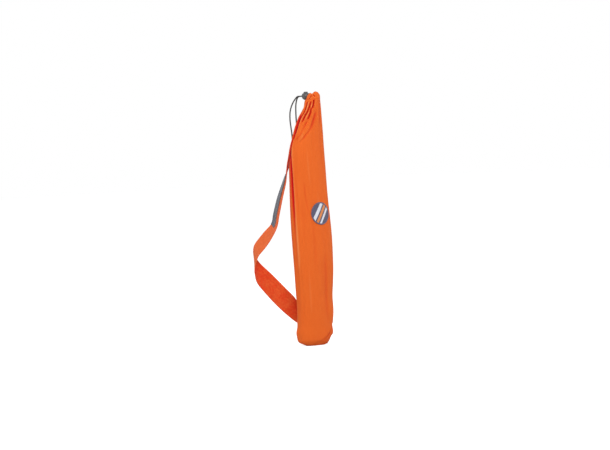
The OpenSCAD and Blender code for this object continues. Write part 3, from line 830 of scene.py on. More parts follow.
def thread_material(name, ground, pale):
    """Thread of two tones, twisted, with the scale, distortion, roughness and depth of its name."""
    if name in bpy.data.materials:
        return bpy.data.materials[name]
    scale, distortion, rough, depth = THREADS[name]
    material, tree, shader = new_material(name, Sheen_Weight=0.1)
    inputs = {"Vector": object_place(tree), "Scale": scale, "Distortion": distortion, "Detail": 1.0}
    twist = add_node(tree, "ShaderNodeTexWave", inputs, bands_direction="DIAGONAL").outputs["Fac"]
    body = mix_colour(tree, twist, ground, pale)
    surface(tree, shader, body, spread(tree, twist, 0.0, 1.0, rough, rough - 0.15), (twist, depth))
    return material


def cloth_thread(colours):
    """Sewing thread, slightly paler than the cloth."""
    return thread_material("sewing_thread", opaque(colours.cloth), opaque(colours.cloth_highlight_and_pale_thread))


def label_thread(colours):
    """Thread of the label, slate and paler than the label."""
    return thread_material("label_thread", opaque(colours.label), opaque(colours.label, 1.5))


def filling_material():
    """Foam roll: pale cells of uneven size."""
    material, tree, shader = new_material("foam_roll")
    place = object_place(tree)
    cells = add_node(tree, "ShaderNodeTexVoronoi", {"Vector": place, "Scale": 500.0}).outputs["Distance"]
    body = mix_colour(tree, cells, (0.42, 0.43, 0.46, 1.0), (0.60, 0.61, 0.63, 1.0))
    surface(tree, shader, body, spread(tree, cells, 0.0, 0.8, 0.95, 0.8), (cells, 0.4 * MM))
    return material


def badge_material(colours):
    """Embroidered badge face: slanted stripes in three colours, each of satin threads that lie along it."""
    material, tree, shader = new_material("badge_stripes", Sheen_Weight=0.25, Sheen_Roughness=0.35)
    uv = add_node(tree, "ShaderNodeUVMap").outputs["UV"]
    inputs = {"Vector": uv, "Rotation": (0.0, 0.0, math.radians(33.0))}
    turned = add_node(tree, "ShaderNodeMapping", inputs).outputs[0]
    place = add_node(tree, "ShaderNodeSeparateXYZ", {0: turned}).outputs
    wobble = noise(tree, uv, 700.0, 1.0)
    ragged = calculate(tree, "MULTIPLY_ADD", wobble, 0.5 * MM, place[0])
    share = spread(tree, ragged, -21 * MM, 21 * MM)
    ramp = add_node(tree, "ShaderNodeValToRGB", {"Fac": share})
    ramp.color_ramp.interpolation = "CONSTANT"
    stops = (
        (0.00, colours.badge_dark),
        (0.24, colours.badge_pale),
        (0.40, colours.badge_dark),
        (0.47, colours.badge_warm),
        (0.60, colours.badge_dark),
        (0.67, colours.badge_pale),
        (0.78, colours.badge_dark),
    )
    for index, (position, value) in enumerate(stops):
        element = ramp.color_ramp.elements[index] if index < 2 else ramp.color_ramp.elements.new(position)
        element.position = position
        element.color = opaque(value)
    threads = calculate(tree, "SINE", calculate(tree, "MULTIPLY", place[1], 2 * math.pi / (0.55 * MM)))
    thread = spread(tree, threads, -1.0, 1.0)
    tone = use_group(tree, mottle_group(), Broad=120.0, Fine=900.0, Fine_share=0.5)["Tone"]
    shade = calculate(tree, "MULTIPLY_ADD", tone, 0.12, calculate(tree, "MULTIPLY", thread, 0.14))
    body = mix_colour(tree, shade, ramp.outputs[0], opaque(colours.badge_dark))
    surface(tree, shader, body, spread(tree, thread, 0.0, 1.0, 0.5, 0.68), (thread, 0.12 * MM))
    return material


def badge_rim_material(colours):
    """Overlocked badge edge: dark satin threads that wrap the rim."""
    material, tree, shader = new_material("badge_rim_threads", Sheen_Weight=0.25, Sheen_Roughness=0.35)
    along = uv_place(tree)[1]
    threads = calculate(tree, "SINE", calculate(tree, "MULTIPLY", along, 2 * math.pi / (0.8 * MM)))
    thread = spread(tree, threads, -1.0, 1.0)
    body = mix_colour(tree, thread, opaque(colours.badge_dark), opaque(colours.badge_dark, 1.5))
    surface(tree, shader, body, spread(tree, thread, 0.0, 1.0, 0.7, 0.5), (thread, 0.2 * MM))
    return material


def floor_material():
    """Pale studio floor: matt white that also glows white to the camera, so that only a faint shadow
    shows."""
    material = bpy.data.materials.new("studio_floor")
    material.use_nodes = True
    tree = material.node_tree
    shader = tree.nodes["Principled BSDF"]
    shader.inputs["Base Color"].default_value = (0.62, 0.62, 0.62, 1.0)
    shader.inputs["Roughness"].default_value = 0.9
    path = add_node(tree, "ShaderNodeLightPath").outputs
    seen = calculate(tree, "MAXIMUM", path["Is Camera Ray"], path["Is Glossy Ray"])
    seen = calculate(tree, "MAXIMUM", seen, path["Is Transmission Ray"])
    glow = add_node(tree, "ShaderNodeEmission", {"Strength": calculate(tree, "MULTIPLY", seen, 0.72)})
    both = add_node(tree, "ShaderNodeAddShader", {0: shader.outputs[0], 1: glow.outputs[0]})
    tree.links.new(both.outputs[0], tree.nodes["Material Output"].inputs["Surface"])
    return material


def strap_rows(sack, strap):
    """Rows along the strap at one spacing: centre, face normal, half ruling and station. The stations run
    from the upper sewn end over the loose loop to the lower sewn end. A ruling is square to the run, plus
    a share of the run's direction where the strap slants to an upright fold."""
    swing = np.array([strap.swing_x, strap.swing_y, 0.0])
    out = around(np.array(strap.swing_turn))
    gap = 0.3 * MM + strap.thickness / 2

    def on_back(x, z, rise=0.0):
        """Place against the back of the sack and its pleats, clear of it a rise above and below."""
        levels = np.array([z - rise, z + rise]) * MM
        turns = turn_at(sack, x * MM, levels, True)
        lift = gap + 1.3 * MM * ease((levels - 0.385) / 0.065)
        points = sack_point(sack, turns, levels, lift, folded=False)
        return np.array([x * MM, points[:, 1].max(), z * MM])

    def step(x, y, z):
        """A step in millimetres."""
        return np.array([x, y, z]) * MM

    turn = math.degrees(strap.swing_turn)
    end = swing + np.array([0.0, 0.0, strap.loop_top + 0.8 * MM])
    hold = on_back(6, 432) + step(0, 1, 0)
    upper = [
        (on_back(14, 456), 88.0, 0.0, 0.62),
        (on_back(10, 444), 90.0, 0.0, 0.68),
        (hold, 94.0, 0.0, 0.76),
        (hold + (end - hold) * 0.35 + step(4.5, 2, 6), 108.0, 0.0, 0.92),
        (hold + (end - hold) * 0.64 + step(2, 1, 4), 118.0, 0.0, 1.0),
        (end - out * 2.2 * MM + step(0, 0, 10), turn - 8.5, 0.0, 1.0),
        (end - out * 1.4 * MM + step(0, 0, 5), turn - 8.5, 0.0, 1.0),
        (end - out * 0.4 * MM, turn - 7.5, 0.0, 1.0),
    ]
    loop = []
    for reach, drop, face, slant in STRAP_LOOP:
        height = strap.loop_top + (strap.loop_foot - strap.loop_top) * drop
        centre = swing + out * (reach * strap.reach + drop * 1.2 * MM) + np.array([0.0, 0.0, height])
        loop.append((centre, turn + face, slant, 1.0))
    fold = swing - out * 2.7 * MM + np.array([0.0, 0.0, strap.loop_foot - 4 * MM])
    lower = [
        (fold, turn - 90.0, 1.0, 1.0),
        (fold - out * 6 * MM - step(0, 0, 5), turn - 85.0, 0.9, 1.0),
        (fold + step(10, -14, -10), turn - 70.0, 0.5, 1.0),
        (on_back(12, 53, 19) + step(0, 1, 0), 82.0, 0.0, 1.0),
        (on_back(17, 49.5, 19), 79.0, 0.0, 1.0),
        (on_back(22, 46, 19), 76.0, 0.0, 1.0),
    ]
    curves = []
    for first, part in ((-len(upper), upper), (0, loop), (len(loop), lower)):
        stations = np.array([[*centre, face, slant, wide] for centre, face, slant, wide in part])
        numbers = np.arange(len(part), dtype=float)[:, None] + first
        curves.append(smooth_line(np.concatenate([stations, numbers], axis=1), 10))
    curve = even_spacing(np.concatenate(curves), 2.0 * MM)
    centre = curve[:, :3]
    along = unit(averaged(np.gradient(centre, axis=0), 6))
    foot_step = np.array(loop[-1][0]) - np.array(loop[-2][0])
    foot_slant = -foot_step[2] / math.hypot(foot_step[0], foot_step[1])
    facing = around(np.radians(curve[:, 3]))
    normal = unit(facing - along * np.sum(facing * along, axis=1, keepdims=True))
    square = np.cross(normal, along)
    ruling = (square + along * (curve[:, 4] * foot_slant)[:, None]) * (strap.width / 2 * curve[:, 5])[:, None]
    return centre, normal, ruling, curve[:, 6]


def strap_curl(run, across):
    """How far the webbing curls off its plain ruled surface: its edges lift a little and ripple along the
    run."""
    lift = 0.7 * MM * (across**2 - 0.3)
    return lift + 0.35 * MM * across * np.sin(run / 0.019) + 0.25 * MM * np.sin(run / 0.031 + 1.7 * across)


def band_grid(rows, across, heights):
    """Points of a band on the strap's rows: each column has a place across the ruling and a height off it."""
    centre, normal, ruling, _ = rows
    run = run_along(centre)[:, None]
    lift = strap_curl(run, across[None, :]) + heights[None, :]
    flat = centre[:, None, :] + ruling[:, None, :] * across[None, :, None]
    return flat + normal[:, None, :] * lift[:, :, None]


def sewn_bend(sack, points, centre, station):
    """How far points of the sewn ends move in y, so that these follow the round back of the sack: the
    depth of the back at the point less the one at the row's centre, fading by station where the strap
    leaves the sack."""

    def depth(places):
        x, z = places[..., 0], places[..., 2]
        return sack_point(sack, turn_at(sack, x, z, True), z, folded=False)[..., 1]

    sewn = ease(-4.7 - station) + ease(station - len(STRAP_LOOP) - 2.4)
    return sewn * (depth(points) - depth(centre))


def band_section(low, high, base, top, count, rounding):
    """Closed cross section of a flat band: an edge, its lower face, the other half-round edge and its
    upper face. It gives places across and heights."""
    middle, half = (base + top) / 2, (top - base) / 2
    bend = np.radians(np.linspace(90.0, -90.0, 7)[1:-1])
    face = np.linspace(low + rounding, high - rounding, count)
    across = np.concatenate(
        [
            face,
            high - rounding + rounding * np.cos(bend),
            face[::-1],
            low + rounding - rounding * np.cos(bend),
        ]
    )
    heights = np.concatenate(
        [np.full(count, half), half * np.sin(bend), np.full(count, -half), -half * np.sin(bend)]
    )
    return across[::-1], middle + heights[::-1]


def finish_piece(piece, material, body=None, replaced=()):
    """Gives a piece its material and body, and hides the nodes it stands for."""
    piece.data.materials.append(material)
    if replaced:
        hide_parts(*replaced)
    if body:
        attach(piece, body)
    return piece


def hem_taper(turn):
    """How far the hem's top is drawn in at a turn in degrees: a constant less a cosine, most on the
    picture's left."""
    return (3.1 - 2.8 * np.cos(np.radians(turn - CAMERA_AZIMUTH))) * MM


class SACK_OT_stage(bpy.types.Operator):
    """Add the camera, the floor, the white surround and the soft lights"""

    bl_idname = "carry_sack.stage"
    bl_label = "Stage"

    def execute(self, context):
        scene = context.scene
        scene.view_settings.view_transform = "Standard"
        azimuth = math.radians(CAMERA_AZIMUTH)
        elevation = math.radians(CAMERA_ELEVATION)
        roll = math.radians(CAMERA_ROLL)
        back = Vector(
            (
                math.sin(azimuth) * math.cos(elevation),
                -math.cos(azimuth) * math.cos(elevation),
                math.sin(elevation),
            )
        )
        level = Vector((math.cos(azimuth), math.sin(azimuth), 0.0))
        upright = back.cross(level)
        right = level * math.cos(roll) - upright * math.sin(roll)
        up = level * math.sin(roll) + upright * math.cos(roll)
        lens = bpy.data.cameras.new("camera")
        lens.sensor_width = 36.0
        lens.lens = lens.sensor_width * CAMERA_DISTANCE / (IMAGE_WIDTH * METRES_PER_PIXEL)
        lens.clip_end = 60.0
        camera = bpy.data.objects.new("camera", lens)
        scene.collection.objects.link(camera)
        place = level * AIM_RIGHT + Vector((0.0, 0.0, AIM_UP)) + back * CAMERA_DISTANCE
        camera.matrix_world = Matrix.Translation(place) @ Matrix((right, up, back)).transposed().to_4x4()
        scene.camera = camera
        reach = np.linspace(-14.0, 14.0, 9)
        x, y = np.meshgrid(reach, reach)
        ground = np.stack([x, y, np.full_like(x, -0.2 * MM)], axis=-1)
        floor = grid_object("studio_floor", ground, grid_uv(reach, reach))
        floor.data.materials.append(floor_material())
        self.add_world(scene)
        self.add_lamp(scene, "key", -34.0, 36.0, 2.6, 1.5, 42.0)
        self.add_lamp(scene, "left_fill", -115.0, 20.0, 2.8, 1.8, 17.0)
        self.add_lamp(scene, "right_fill", 50.0, 25.0, 2.8, 1.8, 16.0)
        self.add_lamp(scene, "back_fill", 160.0, 30.0, 2.8, 1.8, 14.0)
        return {"FINISHED"}

    def add_world(self, scene):
        """World that is white to the camera and to reflections, and a softer white light to the rest."""
        world = bpy.data.worlds.new("studio")
        world.use_nodes = True
        tree = world.node_tree
        path = add_node(tree, "ShaderNodeLightPath").outputs
        seen = calculate(tree, "MAXIMUM", path["Is Camera Ray"], path["Is Glossy Ray"])
        seen = calculate(tree, "MAXIMUM", seen, path["Is Transmission Ray"])
        tree.links.new(spread(tree, seen, 0.0, 1.0, 0.42, 1.0), tree.nodes["Background"].inputs["Strength"])
        tree.nodes["Background"].inputs["Color"].default_value = (1.0, 1.0, 1.0, 1.0)
        scene.world = world

    def add_lamp(self, scene, name, azimuth, elevation, distance, size, power):
        """Square soft lamp that looks at the middle of the sack from a turn and a height in degrees."""
        turn, rise = math.radians(azimuth), math.radians(elevation)
        back = Vector((math.sin(turn) * math.cos(rise), -math.cos(turn) * math.cos(rise), math.sin(rise)))
        data = bpy.data.lights.new(name, "AREA")
        data.size = size
        data.energy = power
        lamp = bpy.data.objects.new(name, data)
        lamp.location = Vector((0.0, 0.0, 0.25)) + back * distance
        lamp.rotation_euler = (-back).to_track_quat("-Z", "Y").to_euler()
        scene.collection.objects.link(lamp)


class SACK_OT_drawcord(bpy.types.Operator):
    """Add the drawcord: its free loop and the stretch through the lock and the hem"""

    bl_idname = "carry_sack.drawcord"
    bl_label = "Drawcord"

    def execute(self, context):
        sack, cord = context.scene.sack_sizes, context.scene.cord_sizes
        material = cord_material(context.scene.sack_colours)
        there = np.array(CORD_ROUTE) + np.array(CORD_EXIT)
        back = np.array(CORD_RETURN) + np.array(CORD_ENTRY)
        path = even_spacing(smooth_line(np.concatenate([there, back]) * MM, 12), 0.9 * MM)
        loop = tube_object("drawcord_free", path, cord.diameter)
        finish_piece(loop, material, "sack", ("drawcord_loop",))
        ring = tube_object("drawcord_held", self.held_path(sack, cord), cord.diameter)
        finish_piece(ring, material, "sack", ("drawcord_ring",))
        return {"FINISHED"}

    def held_path(self, sack, cord):
        """Line of the held stretch: straight through the lock, round the mouth inside the hem, and back."""
        height = CORD_EXIT[2] * MM
        turn = np.linspace(120.0, 420.0, 60)
        pushed = side_push(turn % 360.0, np.full_like(turn, sack.mouth_height - 1 * MM))
        inset = cord.inset + 0.7 * MM + 0.75 * hem_taper(turn) - 0.5 * pushed
        round_x = sack.mouth_x + (sack.mouth_half_width - inset) * np.cos(np.radians(turn))
        round_y = sack.mouth_y + (sack.mouth_half_depth - inset) * np.sin(np.radians(turn))
        ring = np.stack([round_x, round_y, np.full_like(turn, height)], axis=-1)
        left = np.array([[19.0, 34.1], [19.0, 25.0], [19.0, 15.6], [19.0, 8.0], [17.8, 4.4]]) * MM
        left = np.concatenate([left, np.full((len(left), 1), height)], axis=1)
        right = left[::-1] * np.array([-1.0, 1.0, 1.0]) + np.array([2 * sack.mouth_x, 0.0, 0.0])
        return even_spacing(smooth_line(np.concatenate([left, ring, right]), 4), 0.9 * MM)


class SACK_OT_sleeve(bpy.types.Operator):
    """Add the sack's folded cloth sleeve, its base panel and the roll that fills it"""

    bl_idname = "carry_sack.sleeve"
    bl_label = "Sleeve"

    def execute(self, context):
        sack = context.scene.sack_sizes
        cloth = cloth_material(context.scene.sack_colours)
        fine = np.linspace(158.0, 292.0, 186, endpoint=False)
        coarse = np.linspace(292.0, 518.0, 104, endpoint=False)
        turn = np.concatenate([fine, coarse])
        rows = np.concatenate(
            [
                np.linspace(0.0, 50 * MM, 24, endpoint=False),
                np.linspace(50 * MM, 340 * MM, 44, endpoint=False),
                np.linspace(340 * MM, 385 * MM, 14, endpoint=False),
                np.linspace(385 * MM, sack.mouth_height - 1.0 * MM, 72),
            ]
        )
        points = sack_point(sack, turn[None, :], rows[:, None])
        degrees = turn[None, :] % 360.0
        # The ridge attribute carries painted shade and highlight: the creases' height, less the left edge's
        # painted shade.
        ridge = creases(sack, degrees, rows[:, None]) / MM - left_crease(sack, degrees, rows[:, None])[1]
        ridge = ridge - 0.5 * ease((rows[:, None] - 0.425) / 0.030)
        # Painted shade along the pinched corner's fold on the right of the foot.
        above, window = corner_fold(degrees, rows[:, None])
        pinched = bell((above + 1 * MM) / (3 * MM)) + 0.4 * ease(-above / (4 * MM))
        ridge = ridge - 1.5 * window * ease((degrees - 240.0) / 60.0) * pinched
        girth = np.radians(np.append(turn, turn[0] + 360.0)) * 36 * MM
        uv = grid_uv(girth, rows)
        sleeve = grid_object("sleeve_cloth", points, uv, wrap=True, values={"ridge": ridge})
        wall = sleeve.modifiers.new("cloth thickness", "SOLIDIFY")
        wall.thickness = sack.cloth
        wall.offset = -1.0
        finish_piece(sleeve, cloth, "sack", ("sack_sleeve",))
        base = self.base_panel(sack)
        finish_piece(base, cloth, "sack", ("base_panel",))
        roll = self.roll(sack)
        finish_piece(roll, filling_material(), "sack", ("filling",))
        return {"FINISHED"}

    def base_panel(self, sack):
        """Panel in the foot: rings that shrink from the sleeve's foot to its middle, under and over a
        thin edge."""
        turn = np.linspace(0.0, 360.0, 160, endpoint=False)
        foot = sack_point(sack, turn, np.zeros_like(turn), -(sack.cloth + 0.3 * MM))
        middle = foot.mean(axis=0)
        shares = np.array([0.03, 0.3, 0.6, 0.85, 0.96, 0.995, 1.0, 0.995, 0.96, 0.85, 0.6, 0.3, 0.03])
        heights = np.array([0, 0, 0, 0, 0, 0.15, 0.6, 1.05, 1.2, 1.2, 1.2, 1.2, 1.2]) * MM
        points = middle + (foot - middle)[None, :, :] * shares[:, None, None]
        points[:, :, 2] = heights[:, None]
        girth = np.radians(np.linspace(0.0, 360.0, 161)) * 30 * MM
        return grid_object("base_cloth", points, grid_uv(girth, shares * 30 * MM), wrap=True, capped=True)

    def roll(self, sack):
        """Roll inside the sack: the plain form drawn in from the cloth, with rounded lower and upper ends."""
        low, high, room = 3.0 * MM, 394 * MM, 4.2 * MM
        rows = np.concatenate([low + np.linspace(0.0, 40 * MM, 14), np.linspace(60 * MM, high, 34)])
        inset = room + 9 * MM * ease((45 * MM - rows) / (42 * MM))
        inset = inset + 8 * MM * ease((rows - high + 14 * MM) / (14 * MM))
        inset = inset + 2 * MM * ease((rows - 0.330) / 0.040)
        turn = np.linspace(0.0, 360.0, 96, endpoint=False)
        points = sack_point(sack, turn[None, :], rows[:, None], -inset[:, None], folded=False)
        girth = np.radians(np.linspace(0.0, 360.0, 97)) * 36 * MM
        return grid_object("filling_roll", points, grid_uv(girth, rows), wrap=True, capped=True)


class SACK_OT_hem(bpy.types.Operator):
    """Add the gathered hem round the mouth and its stitches"""

    bl_idname = "carry_sack.hem"
    bl_label = "Hem"

    def execute(self, context):
        sack, colours = context.scene.sack_sizes, context.scene.sack_colours
        turn = np.linspace(HEM_FROM, HEM_TO, 260)
        points, ridge = self.tunnel(sack, turn, np.linspace(2 * math.pi, 0.0, 40, endpoint=False))
        girth = np.radians(turn) * 15 * MM
        uv = grid_uv(np.linspace(0.0, 32 * MM, 41), girth)
        hem = grid_object("hem_cloth", points, uv, wrap=True, values={"ridge": ridge})
        wall = hem.modifiers.new("cloth thickness", "SOLIDIFY")
        wall.thickness = sack.cloth * 0.8
        wall.offset = -1.0
        finish_piece(hem, cloth_material(colours), "sack", ("mouth_hem",))
        places = np.linspace(HEM_FROM + 4.0, HEM_TO - 4.0, 62)
        angle = np.radians(np.array([-52.0]))
        starts = self.tunnel(sack, places, angle)[0][:, 0]
        ends = self.tunnel(sack, places + 3.2, angle)[0][:, 0]
        lifts = unit((starts - np.array([sack.mouth_x, sack.mouth_y, 0.0])) * np.array([1.0, 1.0, 0.0]))
        along = unit(ends - starts)
        lifts = unit(lifts - along * np.sum(lifts * along, axis=1, keepdims=True))
        rise = lifts * 0.05 * MM
        row = stitches_object("hem_stitches", starts + rise, ends + rise, lifts, 0.28 * MM)
        finish_piece(row, cloth_thread(colours), "sack")
        return {"FINISHED"}

    def tunnel(self, sack, turn, angle):
        """Hem at a turn: a tall superellipse section whose top follows the lip, pushed in and out by the
        gathers and by ruffles that grow towards the lip."""
        turns, heights = np.array(LIP).T
        lip = np.interp(turn, turns, heights, period=360.0)[:, None] * MM
        side = -2.6 * MM + 2.95 * MM * signed_power(np.cos(angle), 0.75)[None, :]
        share = 0.5 + 0.5 * signed_power(np.sin(angle), 0.85)[None, :]
        up = -3.2 * MM + (lip + 3.2 * MM) * share
        degrees = turn[:, None] % 360.0
        pleat = folds(sack, degrees, np.full_like(degrees, sack.mouth_height - 1 * MM))
        ruffle = 0.35 * MM * share**2 * np.sin(np.radians(degrees) * 13.0 + 1.1)
        outer = 0.5 + 0.5 * np.cos(angle)[None, :]
        drawn = hem_taper(degrees) * np.clip((up + 3 * MM) / (13 * MM), 0.0, 1.0)
        crease = np.zeros_like(up)
        for line, wide, deep in HEM_FOLDS:
            run = (degrees - line[0][0]) / (line[-1][0] - line[0][0])
            strength = ease(run / 0.3) * ease((1.0 - run) / 0.3) * outer
            crease = crease + deep * MM * strength * groove(up - follow(line, degrees) * MM, wide * MM)
        push = side + pleat * (0.25 + 0.75 * outer) + crease + ruffle * (0.4 + 0.6 * outer) - drawn
        z = np.full_like(push, sack.mouth_height)
        points = sack_point(sack, np.broadcast_to(turn[:, None], push.shape), z, push, folded=False)
        points[:, :, 2] += up
        # Painted shade and highlight of the hem, for the ridge attribute: the neck's creases read at one
        # height, plus twice the hem's own creases.
        tone = creases(sack, degrees, np.full_like(degrees, HEM_TONE_HEIGHT)) + 2.0 * crease
        return points, tone / MM


class SACK_OT_seams(bpy.types.Operator):
    """Add the two sewn side seams"""

    bl_idname = "carry_sack.seams"
    bl_label = "Side seams"

    def execute(self, context):
        sack, colours = context.scene.sack_sizes, context.scene.sack_colours
        z = np.linspace(16 * MM, 400 * MM, 260)
        self.add_seam(sack, colours, "left", z, follow(LEFT_EDGE, z / MM))
        self.add_seam(sack, colours, "right", z, 8.0 - 15.0 * np.clip((z - 0.250) / 0.150, 0.0, 1.0) ** 3)
        return {"FINISHED"}

    def add_seam(self, sack, colours, side, z, turn):
        """Narrow welt along a seam line: a low half-round carried on the folded cloth, puckered at each
        stitch."""
        across = np.linspace(-1.0, 1.0, 9)
        degrees = turn[:, None] + across[None, :] * 2.9
        pucker = 0.8 + 0.2 * np.cos(z[:, None] * 2 * math.pi / (4.0 * MM))
        rise = (0.25 + 0.30 * ease((z[:, None] - 0.090) / 0.080) * ease((0.401 - z[:, None]) / 0.018)) * MM
        lift = rise * np.sqrt(np.clip(1.0 - across[None, :] ** 2, 0.0, 1.0)) * pucker
        top = sack_point(sack, degrees, z[:, None], lift + 0.05 * MM)
        under = sack_point(sack, degrees[:, ::-1], z[:, None], -0.3 * MM)
        points = np.concatenate([top, under], axis=1)
        uv = grid_uv(np.linspace(0.0, 6 * MM, 19), z)
        # Painted highlight: the welt is paled above 100 mm through the ridge attribute.
        ridge = np.broadcast_to(1.1 * ease((z[:, None] - 0.100) / 0.100), points.shape[:2])
        seam = grid_object(f"seam_welt_{side}", points, uv, wrap=True, capped=True, values={"ridge": ridge})
        finish_piece(seam, cloth_material(colours), "sack", (f"side_seam_{side}",))


class SACK_OT_strap(bpy.types.Operator):
    """Add the webbing strap, its woven label and the stitches that hold them"""

    bl_idname = "carry_sack.strap"
    bl_label = "Strap and label"

    def execute(self, context):
        sack, strap, colours = context.scene.sack_sizes, context.scene.strap_sizes, context.scene.sack_colours
        rows = strap_rows(sack, strap)
        half = strap.thickness / 2
        across, heights = band_section(-1.0, 1.0, -half, half, 39, 0.045)
        points = band_grid(rows, across, heights)
        points[..., 1] += sewn_bend(sack, points, rows[0][:, None, :], rows[3][:, None])
        run = run_along(rows[0])
        place = np.append(across, across[0]) * strap.width / 2
        # Painted shade: near the upper bend the inner face takes values over one, which darken it towards the
        # fold-shade red.
        shaded = 1.0 + 0.75 * bell((rows[3] + 1.0) / 1.6)
        inner = (heights < 0.2 * half)[None, :] * shaded[:, None]
        webbing = grid_object(
            "webbing_strap", points, grid_uv(place, run), wrap=True, capped=True, values={"inner": inner}
        )
        finish_piece(webbing, webbing_material(colours), None)
        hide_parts("shoulder_strap", "strap_top_end", "strap_low_end")
        self.bend(webbing, strap)
        self.add_label(rows, strap, colours)
        self.add_end_stitches(rows, sack, strap, colours)
        return {"FINISHED"}

    def bend(self, piece, strap):
        """Bakes the piece's world transform into its mesh."""
        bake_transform(piece)

    def add_label(self, rows, strap, colours):
        """Label on the outer face: a thin band between two stations of the loop, with a stitch row along each
        long side."""
        chosen = (rows[3] >= LABEL_STATIONS[0]) & (rows[3] <= LABEL_STATIONS[1])
        part = tuple(row[chosen] for row in rows)
        half = strap.width / 2
        low = (-strap.label_shift - strap.label_width / 2) / half
        high = (-strap.label_shift + strap.label_width / 2) / half
        base = strap.thickness / 2 + 0.12 * MM
        across, heights = band_section(low, high, base, base + strap.label_thickness, 25, 0.025)
        points = band_grid(part, across, heights)
        place = np.append(across, across[0]) * half + strap.label_shift
        run = run_along(part[0])
        label = grid_object("label_weave", points, grid_uv(place, run), wrap=True, capped=True)
        finish_piece(label, label_material(colours), None, ("strap_label",))
        self.bend(label, strap)
        edge = np.array([low + 0.06, high - 0.06])
        top = np.full(2, base + strap.label_thickness)
        sides = band_grid(part, edge, top)
        starts = np.concatenate([sides[:-1:2, 0], sides[:-1:2, 1]])
        ends = np.concatenate([sides[1::2, 0], sides[1::2, 1]])
        lifts = np.concatenate([part[1][:-1:2], part[1][:-1:2]])
        row = stitches_object("label_stitches", starts, ends, lifts, 0.22 * MM)
        finish_piece(row, label_thread(colours), None)
        self.bend(row, strap)

    def add_end_stitches(self, rows, sack, strap, colours):
        """Box of stitches with a cross in it on each sewn end of the strap."""
        run = run_along(rows[0])
        for name, first, last in (("top", 3 * MM, 25 * MM), ("low", run[-1] - 24 * MM, run[-1] - 3 * MM)):
            corners = np.array(
                [
                    [first, -0.8],
                    [last, -0.8],
                    [last, 0.8],
                    [first, 0.8],
                    [first, -0.8],
                    [last, 0.8],
                    [last, -0.8],
                    [first, 0.8],
                ]
            )
            scaled = corners * np.array([1.0, strap.width / 2])
            distance = run_along(scaled)
            even = np.arange(0.0, distance[-1], 3.0 * MM)
            starts, lifts = self.on_face(rows, run, corners, distance, even, sack, strap)
            ends, _ = self.on_face(rows, run, corners, distance, even + 2.2 * MM, sack, strap)
            row = stitches_object(f"strap_stitches_{name}", starts, ends, lifts, 0.3 * MM)
            finish_piece(row, cloth_thread(colours), "sack")

    def on_face(self, rows, run, corners, distance, even, sack, strap):
        """Points on the strap's outer face along a line of corners, each a run and a place across."""
        along = np.interp(even, distance, corners[:, 0])
        across = np.interp(even, distance, corners[:, 1])
        centre = np.stack([np.interp(along, run, rows[0][:, i]) for i in range(3)], axis=-1)
        normal = unit(np.stack([np.interp(along, run, rows[1][:, i]) for i in range(3)], axis=-1))
        ruling = np.stack([np.interp(along, run, rows[2][:, i]) for i in range(3)], axis=-1)
        lift = strap_curl(along, across) + strap.thickness / 2 + 0.05 * MM
        points = centre + ruling * across[:, None] + normal * lift[:, None]
        points[:, 1] += sewn_bend(sack, points, centre, np.interp(along, run, rows[3]))
        return points, normal


class SACK_OT_badge(bpy.types.Operator):
    """Add the round badge's striped face and its overlocked rim"""

    bl_idname = "carry_sack.badge"
    bl_label = "Badge"

    def execute(self, context):
        sack, colours = context.scene.sack_sizes, context.scene.sack_colours
        middle_x = (BADGE_LOW.x + BADGE_HIGH.x) / 2
        middle_z = (BADGE_LOW.z + BADGE_HIGH.z) / 2
        radius = (BADGE_HIGH.z - BADGE_LOW.z) / 2
        turn = np.linspace(2 * math.pi, 0.0, 128, endpoint=False)
        shares = np.concatenate([np.linspace(0.02, 0.9, 22), [0.93, 0.93, 0.9], np.linspace(0.8, 0.02, 6)])
        lifts = np.concatenate([np.full(22, 0.95), [0.8, 0.35, 0.3], np.full(6, 0.3)]) * MM
        across = shares[:, None] * radius * np.cos(turn)[None, :]
        upward = shares[:, None] * radius * np.sin(turn)[None, :]
        face = self.on_front(sack, middle_x + across, middle_z + upward, lifts[:, None])
        ring = np.append(np.arange(len(turn)), 0)
        uv = np.stack([across[:, ring], upward[:, ring]], axis=-1)
        field = grid_object("badge_face", face, uv, wrap=True, capped=True)
        finish_piece(field, badge_material(colours), "sack", ("badge_field",))
        bend = np.linspace(0.0, 2 * math.pi, 16, endpoint=False)
        width = 2.6 * MM
        outward = radius - width / 2 + width / 2 * np.cos(bend)[None, :]
        height = 0.85 * MM + 0.75 * MM * np.sin(bend)[None, :]
        x = middle_x + outward * np.cos(turn)[:, None]
        z = middle_z + outward * np.sin(turn)[:, None]
        points = self.on_front(sack, x, z, height)
        points = np.concatenate([points, points[:1]])
        uv = grid_uv(np.linspace(0.0, 7 * MM, 17), np.linspace(0.0, 2 * math.pi * radius, 129))
        rim = grid_object("badge_edge", points, uv, wrap=True)
        finish_piece(rim, badge_rim_material(colours), "sack", ("badge_rim",))
        return {"FINISHED"}

    def on_front(self, sack, x, z, lift):
        """Points over the front of the sack, which the stiff badge smooths: about two thirds of each fold
        show."""
        x, z, lift = np.broadcast_arrays(x, z, lift)
        turn = turn_at(sack, x, z)
        plain = sack_point(sack, turn, z, lift + 0.25 * MM + side_push(turn, z), folded=False)
        folded = sack_point(sack, turn, z, lift + 0.1 * MM)
        return plain * 0.35 + folded * 0.65


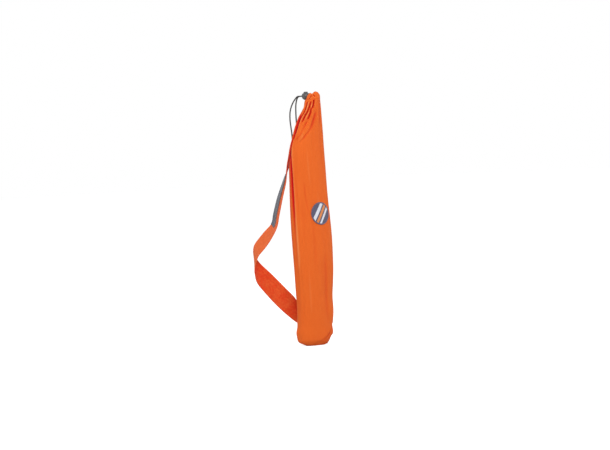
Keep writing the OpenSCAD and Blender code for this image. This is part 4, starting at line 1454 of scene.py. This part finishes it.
class SACK_OT_lock(bpy.types.Operator):
    """Give the cord lock's ball, button and spring their moulded plastic and wire"""

    bl_idname = "carry_sack.lock"
    bl_label = "Cord lock"

    def execute(self, context):
        plastic = plastic_material(context.scene.sack_colours)
        wire = spring_material()
        for node, material in (("lock_barrel", plastic), ("lock_plunger", plastic), ("lock_spring", wire)):
            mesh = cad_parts[node].data
            mesh.materials.clear()
            mesh.materials.append(material)
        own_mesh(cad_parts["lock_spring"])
        return {"FINISHED"}


class SACK_PT_builder(bpy.types.Panel):
    """Sidebar panel that lists the sack's pieces"""

    bl_idname = "SACK_PT_builder"
    bl_label = "Carry sack"
    bl_space_type = "VIEW_3D"
    bl_region_type = "UI"
    bl_category = "Carry sack"

    def draw(self, context):
        column = self.layout.column()
        for operator in OPERATORS:
            column.operator(operator.bl_idname)
        for group in ("sack_sizes", "strap_sizes", "cord_sizes", "sack_colours"):
            settings = getattr(context.scene, group)
            for key in settings.__annotations__:
                column.prop(settings, key)


OPERATORS = (
    SACK_OT_stage,
    SACK_OT_drawcord,
    SACK_OT_sleeve,
    SACK_OT_hem,
    SACK_OT_seams,
    SACK_OT_strap,
    SACK_OT_badge,
    SACK_OT_lock,
)
CLASSES = (SackSizes, StrapSizes, CordSizes, SackColours, *OPERATORS, SACK_PT_builder)


def register():
    """Register the classes and give each scene its settings."""
    for item in CLASSES:
        bpy.utils.register_class(item)
    bpy.types.Scene.sack_sizes = PointerProperty(type=SackSizes)
    bpy.types.Scene.strap_sizes = PointerProperty(type=StrapSizes)
    bpy.types.Scene.cord_sizes = PointerProperty(type=CordSizes)
    bpy.types.Scene.sack_colours = PointerProperty(type=SackColours)


def unregister():
    """Remove the settings and the classes."""
    del bpy.types.Scene.sack_sizes
    del bpy.types.Scene.strap_sizes
    del bpy.types.Scene.cord_sizes
    del bpy.types.Scene.sack_colours
    for item in reversed(CLASSES):
        bpy.utils.unregister_class(item)


def main():
    """Build every piece in order."""
    register()
    bpy.ops.carry_sack.stage()
    bpy.ops.carry_sack.drawcord()
    bpy.ops.carry_sack.sleeve()
    bpy.ops.carry_sack.hem()
    bpy.ops.carry_sack.seams()
    bpy.ops.carry_sack.strap()
    bpy.ops.carry_sack.badge()
    bpy.ops.carry_sack.lock()
    bpy.context.view_layer.update()


if __name__ == "__main__":
    main()
